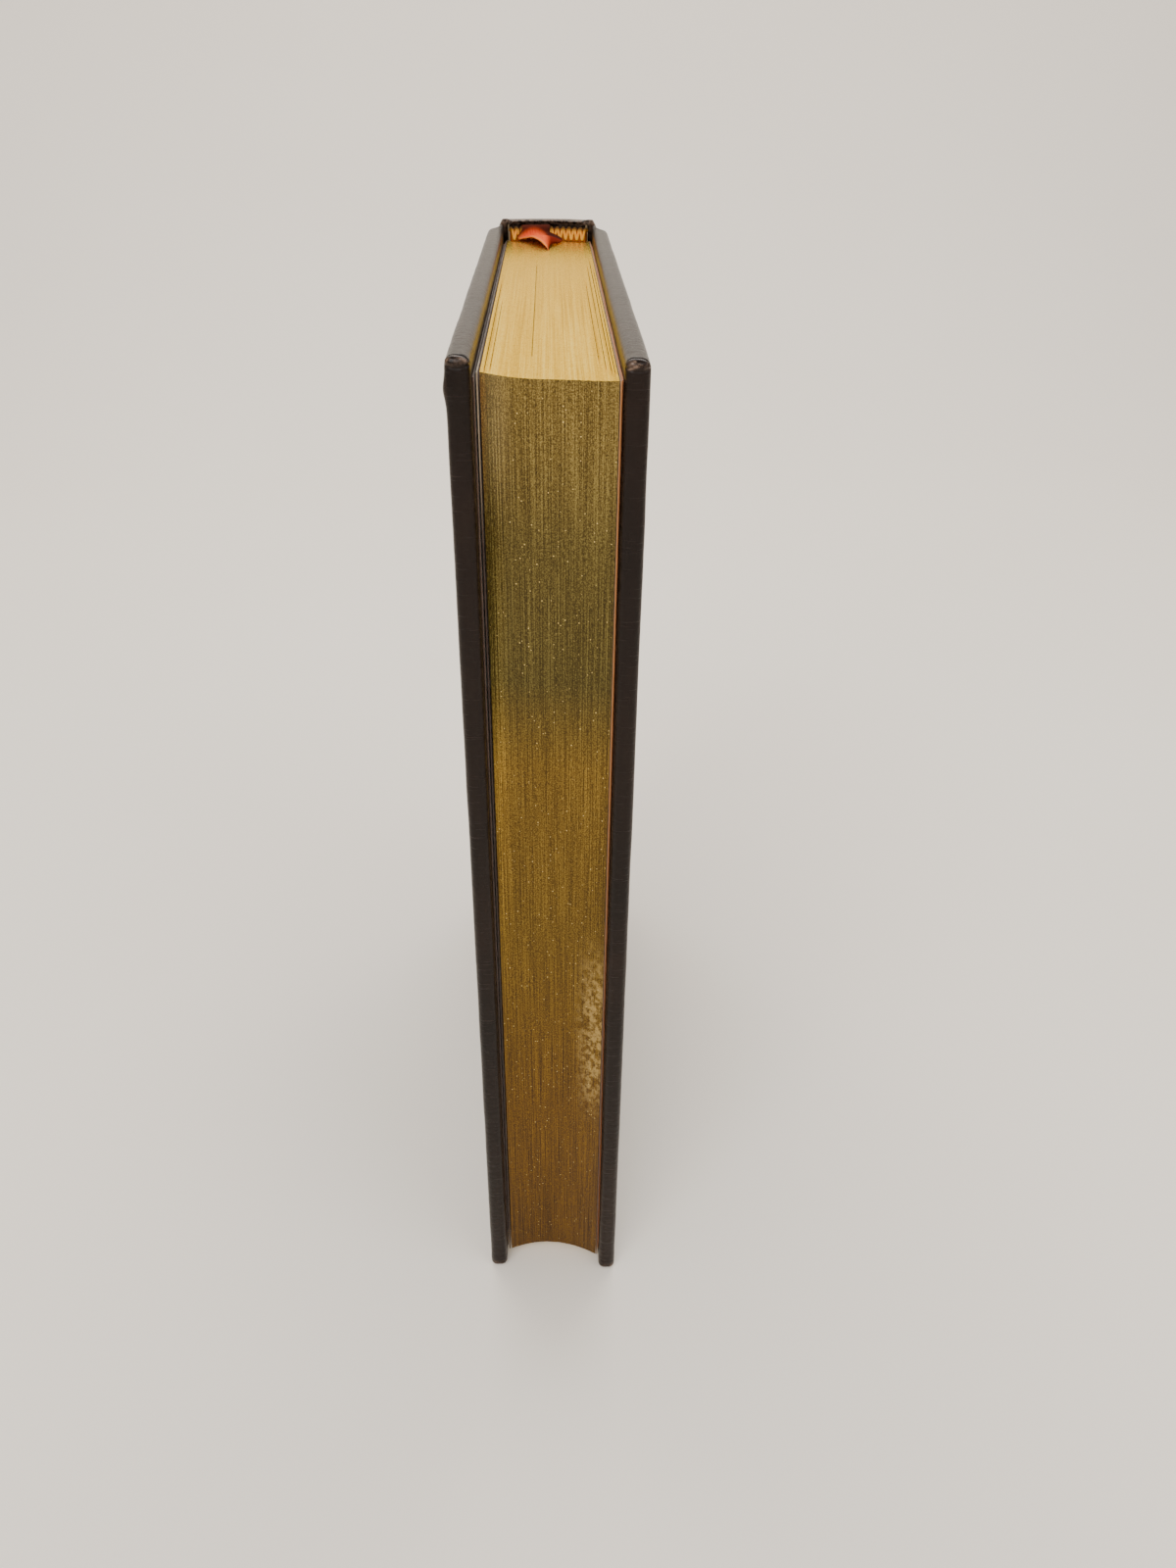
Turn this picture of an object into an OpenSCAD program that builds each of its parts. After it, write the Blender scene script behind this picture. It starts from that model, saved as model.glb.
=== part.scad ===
// Leather-bound book that stands closed on its tail.
// The fore-edge faces -Y, the spine +Y, the front cover -X and the back cover +X.

/* [Covers] */
// Height of each cover
cover_h = 235; // [180:1:300]
// Width of each cover, from its fore-edge to the joint
cover_w = 157; // [120:1:210]
// Thickness of the board inside each cover
board_t = 3; // [2.4:0.1:4]
// Thickness of the leather
leather_t = 0.7; // [0.5:0.05:0.9]
// Thickness of the pared leather that is turned in over the boards
turn_in_t = 0.55; // [0.3:0.05:0.8]
// Width of the leather that is turned in over the boards and the spine
turn_in_w = 15; // [10:0.5:22]
// Radius of the covers' edges
edge_r = 1.5; // [1:0.05:1.6]
// Radius of the covers' corners, seen from the side
corner_r = 2; // [1.7:0.1:4]
// How far the back cover stands forward of the front cover
cover_lead = 1.5; // [0:0.1:2.5]

/* [Tooled border] */
// Distance from a cover's edges to the border
border_inset = 7; // [4:0.5:20]
// Width of the border's broad line
broad_line_w = 1.2; // [0.6:0.1:2]
// Width of the border's fine line
fine_line_w = 0.5; // [0.3:0.1:1]
// Space between the two lines
line_gap = 1.3; // [0.8:0.1:3]
// Depth of the lines
line_d = 0.25; // [0.1:0.05:0.35]

/* [Text block] */
// Thickness of the pages together
block_t = 22.6; // [16:0.2:50]
// Mean space between the pages and each cover
side_gap = 0.95; // [0.9:0.05:1.6]
// How far the pages lie towards the back cover
block_shift = 0.2; // [0:0.05:0.2]
// How far the covers stand past the pages at the head
head_square = 3.5; // [2.5:0.1:5]
// How far the covers stand past the pages at the tail
tail_square = 3; // [2.7:0.1:5]
// How far the covers stand past the pages at the fore-edge, at the tail
fore_square = 3.2; // [2.6:0.1:5]
// Depth of the fore-edge's hollow at the tail
hollow_d = 2.8; // [0:0.1:4]
// How far the pages have crept forward at the head
head_creep = 1.9; // [0:0.1:2]
// How much further forward the last page lies than the first
fore_slant = 2.2; // [0:0.1:2.5]
// How far the first pages lie back at the head
cheek_d = 3.5; // [0:0.1:5]
// Height of the arch of the pages' back
back_round = 2.6; // [1:0.1:4]

/* [Spine] */
// How far the spine stands past the pages on each side
spine_margin = 2.2; // [2:0.05:2.4]
// Height of the arch of the spine
spine_round = 3; // [1.5:0.1:4.5]
// Depth of the spine's flanks
flank_d = 2; // [1:0.1:3]
// Radius between the spine's arch and its flanks
shoulder_r = 1.4; // [1:0.1:1.8]
// Thickness of the card that stiffens the spine
stiffener_t = 1; // [0.6:0.1:1.5]
// Hollow between the spine and the lined back of the pages
hollow_gap = 1.15; // [1:0.05:2]
// How far the spine's head cap stands above the covers
cap_rise = 1; // [0:0.1:2]
// Radius of the caps' rounding
cap_r = 1; // [0.6:0.05:1.05]
// Width of the joint between each cover and the spine
joint_w = 6.5; // [5.8:0.1:9]
// Depth of the groove at each joint, below the spine's flank
joint_sink = 0.5; // [0:0.05:0.6]

/* [Raised bands] */
// Height of each band
band_rise = 1.5; // [0.8:0.1:2]
// Radius of each band's section
band_r = 2.4; // [2.1:0.1:3]
// Height of the lowest band's middle
low_band_z = 46; // [36:1:60]
// Distance from the head to the highest band's middle
high_band_drop = 36; // [26:1:50]

/* [Endpapers and linings] */
// Thickness of the pastedowns
paste_t = 0.2; // [0.15:0.05:0.3]
// Leather left bare round each pastedown
paste_margin = 4; // [2:0.5:8]
// Thickness of the flyleaves
flyleaf_t = 0.2; // [0.15:0.05:0.3]
// Thickness of the gauze on the pages' back
mull_t = 0.3; // [0.2:0.05:0.5]
// Thickness of the paper over the gauze
lining_t = 0.3; // [0.2:0.05:0.5]

/* [Headbands] */
// Height of the headband above the pages
headband_h = 3.4; // [2.3:0.1:3.4]
// Height of the tailband below the pages
tailband_h = 2.4; // [2.3:0.1:2.5]
// Thickness of both bands
band_t = 2.2; // [1.6:0.1:2.3]
// Depth of the tape that holds each band
tape_d = 10; // [6:1:15]
// Distance between the threads
thread_pitch = 1.65; // [1.2:0.05:2.5]
// Width of each thread
thread_w = 0.9; // [0.5:0.05:1.1]
// How far the threads stand out
thread_rise = 0.15; // [0.1:0.05:0.3]

/* [Ribbon marker] */
// Width of the ribbon
ribbon_w = 9; // [6:0.5:10]
// Thickness of the ribbon
ribbon_t = 0.3; // [0.2:0.05:0.4]
// Where the middle of the ribbon crosses the headband, from the middle of the book
ribbon_x = -3.9; // [-5:0.1:-3]
// Where the ribbon goes in between the pages, from the middle of the book
slit_x = 0.1; // [-1:0.1:1]
// Distance from the pages' back to the ribbon's middle where it goes in
slit_set = 16; // [13:0.5:22]
// Length of ribbon glued down behind the pages
ribbon_glued = 30; // [15:1:40]
// Depth to which the ribbon reaches between the pages
ribbon_reach = 190; // [80:1:200]
// Clearance round the ribbon between the pages
ribbon_clear = 0.15; // [0.1:0.05:0.3]

/* [Parting of the pages at the head] */
// Where the parting lies, from the middle of the book
parting_x = -2.7; // [-5:0.1:-1]
// Length of the parting
parting_l = 106; // [60:1:120]
// Distance from the pages' back to the parting
parting_set = 40; // [30:1:60]
// Width of the parting
parting_w = 0.2; // [0.15:0.05:0.5]
// Depth of the parting at its middle
parting_d = 12; // [5:1:50]

/* [Hidden] */
$fn = 96;

// Small overlap that lets a cutter run past the face it cuts
past = 1;
// Space left by the glue between curved layers
glue = 0.05;

// Across the book
cover_t = leather_t + board_t + turn_in_t;
cover_in = block_t / 2 + side_gap;
cover_out = cover_in + cover_t;
paste_face = cover_in - paste_t;
spine_half = block_t / 2 + spine_margin;

// From fore-edge to spine: the book's box is centred on the origin
book_d = cover_lead / 2 + cover_w + joint_w + flank_d + spine_round + band_rise;
fore_y = cover_lead / 2 - book_d / 2;
shoulder_y = fore_y + cover_w + joint_w;
spine_y = shoulder_y + flank_d + spine_round;

// Up the book
spine_h = cover_h + cap_rise;
head_z = cover_h - head_square;
block_h = head_z - tail_square;

// The spine's arch
spine_r = (pow(spine_half, 2) + pow(spine_round, 2)) / (2 * spine_round);
spine_cy = spine_y - spine_r;
stiff_r = spine_r - leather_t;
hollow_r = stiff_r - stiffener_t;
lip_r = hollow_r - turn_in_t;
fold_x = spine_half - shoulder_r - leather_t;
slot_x = fold_x + shoulder_r / 4;

// The arch of the pages' back
back_y = spine_cy + lip_r - hollow_gap - lining_t - mull_t;
back_r = (pow(block_t / 2, 2) + pow(back_round, 2)) / (2 * back_round);
back_cy = back_y - back_r;

// The raised bands
band_sink = band_r - band_rise;
band_pitch = (spine_h - low_band_z - high_band_drop) / 4;

// Colours
gilt = "#c9a24a";
marbled = "#b5713a";
board_grey = "#8d8577";
dark_leather = "#33261f";
card_buff = "#a08a68";
gauze_white = "#e8e2d0";
lining_buff = "#b08d5c";
gold_silk = "#e0932f";
red_satin = "#e0583a";

function lerp(a, b, t) = a + (b - a) * t;
function unit(v) = v / norm(v);
function smooth(t) = (1 - cos(180 * t)) / 2;

// Where a cover's board ends at the joint; side is -1 for the front cover and 1 for the back
function cover_fore_y(side) = fore_y - side * cover_lead / 2;
function cover_back_y(side) = cover_fore_y(side) + cover_w;

// Depth of the pages' back at x, with layers of the given thickness on it
function back_at(x, layers = 0) =
    back_cy + sqrt(pow(back_r + layers, 2) - pow(x - block_shift, 2));

// The fore-edge: across runs from -1 at the first page to 1 at the last, up from 0 to 1
function cheek(across) = pow(max(0, (-across - 0.25) / 0.75), 1.6);
function fore_edge_y(across, up) =
    fore_y + fore_square - head_creep * up - fore_slant / 2 * across
    + hollow_d * (1 - up) * (1 - across * across)
    + cheek_d * up * up * cheek(across);

// A rectangle from y0 to y1 about x = 0, rounded at its low end, and at its high end too if both
module rounded_bar(w, y0, y1, r, both = true) {
    top = both ? y1 - r : y1;
    translate([-w / 2 + r, y0]) square([w - 2 * r, y1 - y0]);
    translate([-w / 2, y0 + r]) square([w, top - y0 - r]);
    for (x = [-w / 2 + r, w / 2 - r]) {
        translate([x, y0 + r]) circle(r);
        if (both) translate([x, y1 - r]) circle(r);
    }
}

// A box between two corners
module span(a, b) {
    translate(a) cube(b - a);
}

// Draws a cover's piece on its own side; the piece is drawn for the back cover
module on_side(side) {
    mirror([side < 0 ? 1 : 0, 0, 0]) children();
}

// The rounded body of a cover, leather and all
module cover_body(side) {
    y0 = cover_fore_y(side);
    y1 = cover_back_y(side);
    mid = (cover_in + cover_out) / 2;
    intersection() {
        translate([mid, 0, 0])
            linear_extrude(cover_h) rounded_bar(cover_t, y0, y1, edge_r, false);
        translate([mid, y1 + past, 0]) rotate([90, 0, 0])
            linear_extrude(cover_w + 2 * past) rounded_bar(cover_t, 0, cover_h, edge_r);
        translate([cover_in, 0, 0]) rotate([90, 0, 90])
            linear_extrude(cover_t) cover_face(y0, y1 + past);
    }
}

// A cover's outline seen from the side, with its fore-edge corners rounded
module cover_face(y0, y1) {
    translate([y0, corner_r]) square([y1 - y0, cover_h - 2 * corner_r]);
    translate([y0 + corner_r, 0]) square([y1 - y0 - corner_r, cover_h]);
    for (z = [corner_r, cover_h - corner_r])
        translate([y0 + corner_r, z]) circle(corner_r);
}

// One line of the border: a frame sunk into the leather
module border_line(side, inset, w) {
    y0 = cover_fore_y(side) + inset;
    y1 = cover_back_y(side) - inset;
    z1 = cover_h - inset;
    difference() {
        span([cover_out - line_d, y0, inset], [cover_out + past, y1, z1]);
        span([cover_out - 2 * line_d, y0 + w, inset + w], [cover_out + 2 * past, y1 - w, z1 - w]);
    }
}

// The board without its leather
module board_box(side, grow = 0) {
    span([cover_out - leather_t - board_t, cover_fore_y(side) + leather_t, leather_t],
        [cover_out - leather_t, cover_back_y(side) + grow, cover_h - leather_t]);
}

// The part of a cover's inside that the turned-in leather leaves open
module turn_in_window(side, inset, x0, x1) {
    edge = turn_in_w + inset;
    span([x0, cover_fore_y(side) + edge, edge],
        [x1, cover_back_y(side) + past, cover_h - edge]);
}

module cover_leather(side) {
    fine_inset = border_inset + broad_line_w + line_gap;
    color(dark_leather) on_side(side) difference() {
        cover_body(side);
        board_box(side, past);
        turn_in_window(side, 0, cover_in - past, cover_out - leather_t - board_t / 2);
        border_line(side, border_inset, broad_line_w);
        border_line(side, fine_inset, fine_line_w);
    }
}

module cover_board(side) {
    color(board_grey) on_side(side) board_box(side);
}

// The paper pasted over the board and the turned-in leather's inner edge
module pastedown(side) {
    y0 = cover_fore_y(side) + paste_margin;
    y1 = cover_back_y(side);
    color(marbled) on_side(side) {
        difference() {
            span([paste_face, y0, paste_margin], [cover_in, y1, cover_h - paste_margin]);
            turn_in_window(side, paste_t, paste_face - past, cover_in + past);
        }
        intersection() {
            difference() {
                turn_in_window(side, 0, cover_in - paste_t, cover_in + turn_in_t);
                turn_in_window(side, paste_t, cover_in - past, cover_in + turn_in_t - paste_t);
            }
            span([paste_face, y0, 0], [cover_out, y1, cover_h]);
        }
    }
}

// The free leaf of the endpaper, flush with the pages it is tipped to
module flyleaf(side) {
    page_x = block_t / 2 + side * block_shift;
    x0 = (page_x + paste_face - flyleaf_t) / 2;
    y1 = back_at(block_shift + side * block_t / 2) - flyleaf_t;
    color(marbled) on_side(side)
        translate([x0, 0, 0]) rotate([90, 0, 90]) linear_extrude(flyleaf_t) polygon([
            [fore_edge_y(side, 0), tail_square],
            [y1, tail_square],
            [y1, head_z],
            [fore_edge_y(side, 1), head_z]
        ]);
}

// The outside line of a joint, from the cover's face to the spine's flank; t runs from 0 to 1
function joint_x(t) = lerp(cover_out, spine_half, smooth(t)) - joint_sink * pow(sin(180 * t), 2);

// The leather of a joint: from the board's outer edge down through the groove to the flank
module joint_leather(side) {
    steps = 24;
    turn_y = cover_back_y(side);
    line = [for (i = [0:steps]) [joint_x(i / steps), lerp(turn_y, shoulder_y, i / steps)]];
    function along(i) = line[min(steps, i + 1)] - line[max(0, i - 1)];
    function inward(i) = unit([-along(i).y, along(i).x]) * leather_t;
    inner = [for (i = [0:steps])
        [line[i].x + inward(i).x, i == 0 || i == steps ? line[i].y : line[i].y + inward(i).y]];
    color(dark_leather) on_side(side) linear_extrude(cover_h)
        polygon(concat(line, [for (i = [steps:-1:0]) inner[i]]));
}

// The spine's outline, arch and flanks, drawn inside the given depth of leather
module spine_outline(depth) {
    half = spine_half - depth;
    r = spine_r - depth;
    fillet = shoulder_r - depth;
    corner_x = half - fillet;
    corner_y = spine_cy + sqrt(pow(r - fillet, 2) - pow(corner_x, 2));
    lean = asin(corner_x / (r - fillet));
    intersection() {
        translate([0, spine_cy]) circle(r, $fn = 360);
        translate([-half, shoulder_y - depth]) square([2 * half, 2 * r]);
        union() {
            translate([-corner_x, shoulder_y - past]) square([2 * corner_x, 2 * r]);
            translate([-half, shoulder_y - past]) square([2 * half, corner_y - shoulder_y + past]);
            for (x = [-corner_x, corner_x]) translate([x, corner_y]) circle(fillet);
            for (s = [-1, 1]) translate([s * corner_x, corner_y])
                polygon([[0, 0], [0, r], [s * r * sin(lean), r * cos(lean)]]);
        }
    }
}

// Turns a profile of radius and height about the spine's axis, as far as the shoulders
module round_spine(reach) {
    lean = asin(reach / spine_r);
    translate([0, spine_cy, 0]) rotate([0, 0, 90 - lean])
        rotate_extrude(angle = 2 * lean, $fn = 360) children();
}

// The outside of the spine's leather, rounded at the head and the tail
module spine_form() {
    intersection() {
        linear_extrude(spine_h) spine_outline(0);
        translate([0, spine_cy, 0]) rotate_extrude($fn = 360) {
            square([spine_r - cap_r, spine_h]);
            translate([spine_r - 2 * cap_r, 0]) rounded_bar(4 * cap_r, 0, spine_h, cap_r);
        }
        translate([0, spine_y + past, 0]) rotate([90, 0, 0])
            linear_extrude(spine_y - shoulder_y + 2 * past)
                rounded_bar(2 * spine_half, 0, spine_h, cap_r);
    }
}

// The bands' humps outside the stiffener, in radius and height
module hump_section(r) {
    intersection() {
        for (i = [0:4]) translate([stiff_r - band_sink, low_band_z + i * band_pitch]) circle(r);
        translate([stiff_r, 0]) square([2 * r, spine_h]);
    }
}

// The space inside the spine's leather that is open from head to tail
module spine_hollow() {
    lean = asin(fold_x / spine_r);
    far = 2 * spine_r;
    difference() {
        spine_outline(leather_t);
        intersection() {
            translate([0, spine_cy]) polygon([
                [0, 0],
                [far * sin(lean), far * cos(lean)],
                [-far * sin(lean), far * cos(lean)]
            ]);
            difference() {
                translate([0, spine_cy]) circle(far);
                translate([0, spine_cy]) circle(lip_r, $fn = 360);
            }
        }
    }
}

module stiffener_section() {
    translate([hollow_r, leather_t]) square([stiffener_t, spine_h - 2 * leather_t]);
}

module spine_leather() {
    color(dark_leather) difference() {
        union() {
            spine_form();
            intersection() {
                round_spine(spine_half) hump_section(band_r + leather_t);
                span([-spine_half, shoulder_y, 0], [spine_half, spine_y + 2 * band_rise, spine_h]);
            }
        }
        translate([0, 0, -past]) linear_extrude(spine_h + 2 * past) spine_hollow();
        round_spine(slot_x) stiffener_section();
        round_spine(fold_x) hump_section(band_r);
        round_spine(slot_x) translate([lip_r - past, turn_in_w])
            square([turn_in_t + past, spine_h - 2 * turn_in_w]);
    }
}

module spine_stiffener() {
    color(card_buff) round_spine(fold_x) stiffener_section();
}

// The strip under the leather that makes a raised band
module raised_band(i) {
    z = low_band_z + (i - 1) * band_pitch;
    color(card_buff) round_spine(fold_x) intersection() {
        translate([stiff_r - band_sink, z]) circle(band_r - glue);
        translate([stiff_r, z - band_r]) square(2 * band_r);
    }
}

// Turns a profile of radius and height about the axis of the pages' back
module round_back(inset = 0) {
    lean = asin((block_t / 2 - inset) / back_r);
    translate([block_shift, back_cy, 0]) rotate([0, 0, 90 - lean])
        rotate_extrude(angle = 2 * lean, $fn = 360) children();
}

module mull() {
    color(gauze_white) round_back() translate([back_r + glue, tail_square + tape_d])
        square([mull_t - glue, block_h - 2 * tape_d]);
}

module spine_lining() {
    color(lining_buff) round_back()
        translate([back_r + mull_t, tail_square]) square([lining_t, block_h]);
}

// Section of a band's bead, which stands on the pages; rise is the threads' height on it
module bead_section(h, rise) {
    r = band_t / 2;
    translate([back_r + mull_t - r, 0]) {
        translate([-r - rise, 0]) square([band_t + rise, h - r]);
        intersection() {
            translate([0, h - r]) circle(r + rise);
            translate([-2 * r, 0]) square([3 * r, 2 * h]);
        }
    }
}

// A woven band with its threads, standing h above z = 0, and its tape down the pages' back
module woven_band(h) {
    count = floor((block_t - 2 * thread_w) / thread_pitch);
    lean = asin((block_t / 2 - thread_w) / back_r);
    round_back(thread_w / 2) {
        bead_section(h, 0);
        translate([back_r + glue, -tape_d]) square([mull_t - glue, tape_d + h / 2]);
    }
    for (i = [0:count]) translate([block_shift, back_cy, 0])
        rotate([0, 0, 90 - lean + 2 * lean * i / count])
            rotate([90, 0, 0]) translate([0, 0, -thread_w / 2])
                linear_extrude(thread_w) bead_section(h, thread_rise);
}

module headband() {
    color(gold_silk) translate([0, 0, head_z]) woven_band(headband_h);
}

module tailband() {
    color(gold_silk) translate([0, 0, tail_square]) mirror([0, 0, 1]) woven_band(tailband_h);
}

// The ribbon's two edges as [x, y, z], z from the head of the pages: up the back, round the
// headband's bead, in an arch over the pages and down between them
left_x = ribbon_x - ribbon_w / 2;
right_x = ribbon_x + ribbon_w / 2;
bow = pow(ribbon_w, 2) / (8 * back_r);
ribbon_seat = mull_t + lining_t + glue + ribbon_t / 2 + bow;
front_in = back_y - slit_set - ribbon_w / 2;
back_in = back_y - slit_set + ribbon_w / 2;
bead_z = headband_h - band_t / 2;
turn_r = band_t / 2 + thread_rise + ribbon_t;
function bead_y(x) = back_at(x, mull_t - band_t / 2);
function behind(x) = concat(
    [for (z = [-ribbon_glued, -ribbon_glued / 2, -3, 0, bead_z]) [x, back_at(x, ribbon_seat), z]],
    [[x, bead_y(x) + bow + turn_r * cos(45), bead_z + turn_r * sin(45)]],
    [for (a = [90, 135, 180]) [x, bead_y(x) + turn_r * cos(a), bead_z + turn_r * sin(a)]]);
function between(y) = [for (z = [0.1, -1, -8]) [slit_x, y, z]];
function course(x0, y0, y1, at) =
    [for (p = at) [lerp(x0, slit_x, p[0]), lerp(y0, y1, p[1]), p[2]]];
left_edge = concat(behind(left_x), course(left_x, bead_y(left_x) - turn_r, front_in, [
    [0.006, 0.01, 1.3],
    [0.05, 0.04, 0.8],
    [0.16, 0.09, 1.1],
    [0.32, 0.22, 1.55],
    [0.5, 0.41, 2.05],
    [0.73, 0.66, 1.75],
    [0.9, 0.84, 1],
    [0.97, 0.96, 0.5]
]), between(front_in));
right_edge = concat(behind(right_x), course(slit_x + 1, bead_y(right_x) - turn_r, back_in, [
    [-0.3, 0.1, 2],
    [-1.1, 0.17, 1.75],
    [-2, 0.24, 1.4],
    [-2.8, 0.38, 1],
    [-2.8, 0.55, 0.7],
    [-2.2, 0.72, 0.5],
    [-1.2, 0.87, 0.45],
    [0.2, 0.96, 0.45]
]), between(back_in));

// A smooth curve through the points
function curve_at(p, i, t) =
    let (a = p[max(0, i - 1)], b = p[i], c = p[i + 1], d = p[min(len(p) - 1, i + 2)])
    0.5 * (2 * b + (c - a) * t + (2 * a - 5 * b + 4 * c - d) * t * t
        + (3 * b - a - 3 * c + d) * t * t * t);
function curve(p, steps) = concat(
    [for (i = [0:len(p) - 2], s = [0:steps - 1]) curve_at(p, i, s / steps)],
    [p[len(p) - 1]]);

module ribbon_marker() {
    left = concat(curve(left_edge, 4), [[slit_x, front_in, -ribbon_reach]]);
    right = concat(curve(right_edge, 4), [[slit_x, back_in, -ribbon_reach]]);
    mids = (left + right) / 2;
    last = len(mids) - 1;
    function side_of(i) = ribbon_t / 2
        * unit(cross(right[i] - left[i], mids[min(last, i + 1)] - mids[max(0, i - 1)]));
    points = [for (i = [0:last]) each [
        left[i] + side_of(i),
        right[i] + side_of(i),
        right[i] - side_of(i),
        left[i] - side_of(i)
    ]];
    sides = [for (i = [0:last - 1], k = [0:3])
        let (a = 4 * i + k, b = 4 * i + (k + 1) % 4)
            each [[a, a + 4, b + 4], [a, b + 4, b]]];
    ends = [[0, 1, 2, 3], [4 * last + 3, 4 * last + 2, 4 * last + 1, 4 * last]];
    color(red_satin) translate([0, 0, head_z])
        polyhedron(points, concat(sides, ends), convexity = 6);
}

// The slot that the ribbon lies in
module ribbon_slot() {
    w = ribbon_t + 2 * ribbon_clear;
    span([slit_x - w / 2, front_in - ribbon_clear, head_z - ribbon_reach - ribbon_clear],
        [slit_x + w / 2, back_in + ribbon_clear, head_z + past]);
}

// Two leaves stand apart a little at the head
module page_parting() {
    start = back_y - parting_set;
    translate([parting_x - parting_w / 2, 0, 0]) rotate([90, 0, 90]) linear_extrude(parting_w)
        polygon([
            [start - parting_l, head_z + past],
            [start, head_z + past],
            [start, head_z],
            [start - parting_l / 2, head_z - parting_d],
            [start - parting_l, head_z]
        ]);
}

// The pages as one solid: a hollow fore-edge that flattens towards the head, and an arched back
module pages() {
    across = 24;
    up = 14;
    ring = 2 * (across + 1);
    function level(w) = concat(
        [for (i = [0:across]) let (u = 2 * i / across - 1)
            [block_shift + u * block_t / 2, fore_edge_y(u, w), tail_square + w * block_h]],
        [for (i = [across:-1:0]) let (u = 2 * i / across - 1, x = block_shift + u * block_t / 2)
            [x, back_at(x), tail_square + w * block_h]]);
    points = [for (j = [0:up]) each level(j / up)];
    sides = [for (j = [0:up - 1], i = [0:ring - 1])
        let (a = j * ring + i, b = j * ring + (i + 1) % ring)
            each [[a, a + ring, b + ring], [a, b + ring, b]]];
    tail = [for (i = [0:ring - 1]) i];
    head = [for (i = [ring - 1:-1:0]) up * ring + i];
    polyhedron(points, concat(sides, [tail, head]), convexity = 6);
}

module text_block() {
    color(gilt) difference() {
        pages();
        ribbon_slot();
        page_parting();
    }
}

text_block();
flyleaf(-1);  // front_flyleaf
flyleaf(1);  // back_flyleaf
pastedown(-1);  // front_pastedown
pastedown(1);  // back_pastedown
cover_board(-1);  // front_board
cover_board(1);  // back_board
cover_leather(-1);  // front_leather
cover_leather(1);  // back_leather
joint_leather(-1);  // front_joint_leather
joint_leather(1);  // back_joint_leather
spine_leather();
spine_stiffener();
raised_band(1);  // raised_band_1
raised_band(2);  // raised_band_2
raised_band(3);  // raised_band_3
raised_band(4);  // raised_band_4
raised_band(5);  // raised_band_5
mull();
spine_lining();
headband();
tailband();
ribbon_marker();
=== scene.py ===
"""An antique leather book that stands closed on its tail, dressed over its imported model."""

import math
import bmesh
import bpy
import numpy as np
from mathutils import Matrix, Vector


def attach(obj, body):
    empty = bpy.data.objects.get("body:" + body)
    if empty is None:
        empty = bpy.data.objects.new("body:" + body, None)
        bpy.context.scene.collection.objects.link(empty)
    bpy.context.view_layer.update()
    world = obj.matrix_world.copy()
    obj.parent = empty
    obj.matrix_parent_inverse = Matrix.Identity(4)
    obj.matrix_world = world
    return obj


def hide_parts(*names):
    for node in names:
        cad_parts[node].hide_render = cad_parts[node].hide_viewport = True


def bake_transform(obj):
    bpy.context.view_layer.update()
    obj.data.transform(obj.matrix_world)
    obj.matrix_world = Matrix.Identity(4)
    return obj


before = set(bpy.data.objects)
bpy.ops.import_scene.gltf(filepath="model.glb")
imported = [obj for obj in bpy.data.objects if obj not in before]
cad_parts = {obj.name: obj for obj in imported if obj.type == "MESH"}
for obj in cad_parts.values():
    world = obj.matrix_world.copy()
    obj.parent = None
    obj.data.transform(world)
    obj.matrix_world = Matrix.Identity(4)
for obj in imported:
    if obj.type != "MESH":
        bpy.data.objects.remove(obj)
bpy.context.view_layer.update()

MM = 0.001
QUARTER = math.pi / 2

# Camera, as the photograph was taken
CAMERA_AT = (0.0003, -0.270125, 0.2749)
CAMERA_YAW = 2.196
CAMERA_PITCH = 32.77
CAMERA_ROLL = 0.897
CAMERA_LENS = 25.93

# Covers. Lengths from here on are millimetres
COVER_H = 235.0
COVER_W = 157.0
COVER_LEAD = 1.5
COVER_IN = 12.25
COVER_OUT = 16.5
LEATHER_T = 0.7
TURN_IN_W = 15.0
EDGE_R = 1.5
CORNER_R = 2.0
FORE_Y = -84.625
# The border's lines: how far in, how wide, how deep, and how wide their slopes are
BORDER = ((7.0, 1.2, 0.25), (9.5, 0.5, 0.2))
BORDER_SLOPE = 0.12
# A cover's grid: its step, the width of the finer margin, and how far a corner's folds reach
COVER_GRID = 3.0
FINE_W = 7.0
FOLDS_W = 6.0
# Rubbed streaks on a folded lip: how far up at the middle, slope, start and end across
RUBS = {
    -1: ((1.35, 0.1, 0.15, 0.85), (1.8, 0.72, -0.95, 0.35)),
    1: ((1.0, 0.67, -0.85, 0.5), (1.75, 0.94, -0.7, 0.25)),
}
# The bump on the front cover's edge: how far back, how high up, its half sizes and its rise
BUMP_BACK = 1.6
BUMP_Z = 229.6
BUMP_SIZE = (1.5, 2.4, 1.9)
BUMP_RISE = 0.42

# Pages
BLOCK_T = 22.6
BLOCK_SHIFT = 0.2
TAIL_Z = 3.0
HEAD_Z = 231.5
BACK_R = 25.856
BACK_CY = 54.019
BACK_Y = 79.875
MULL_T = 0.3
LINING_T = 0.3
GLUE = 0.05
FORE_SQUARE = 3.2
HEAD_CREEP = 1.9
FORE_SLANT = 2.2
HOLLOW_D = 2.8
CHEEK_D = 3.5
SLIT_X = 0.1
SLIT_HALF = 0.3
SLIT_SHOWN = 14.0
SLIT_SET = 16.0
# Where leaves stand apart at the head: x, where it starts, its length, half its width, its depth
GAPS = (
    (-2.7, BACK_Y - 40.0, 106.0, 0.05, 12.0),
    (8.7, 12.0, 84.0, 0.06, 0.9),
    (9.7, 34.0, 112.0, 0.07, 1.5),
    (10.5, 44.0, 124.0, 0.07, 1.9),
    (11.05, 30.0, 110.0, 0.06, 1.6),
    (-9.5, -12.0, 66.0, 0.06, 0.9),
    (-10.4, 10.0, 88.0, 0.07, 1.4),
)

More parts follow.
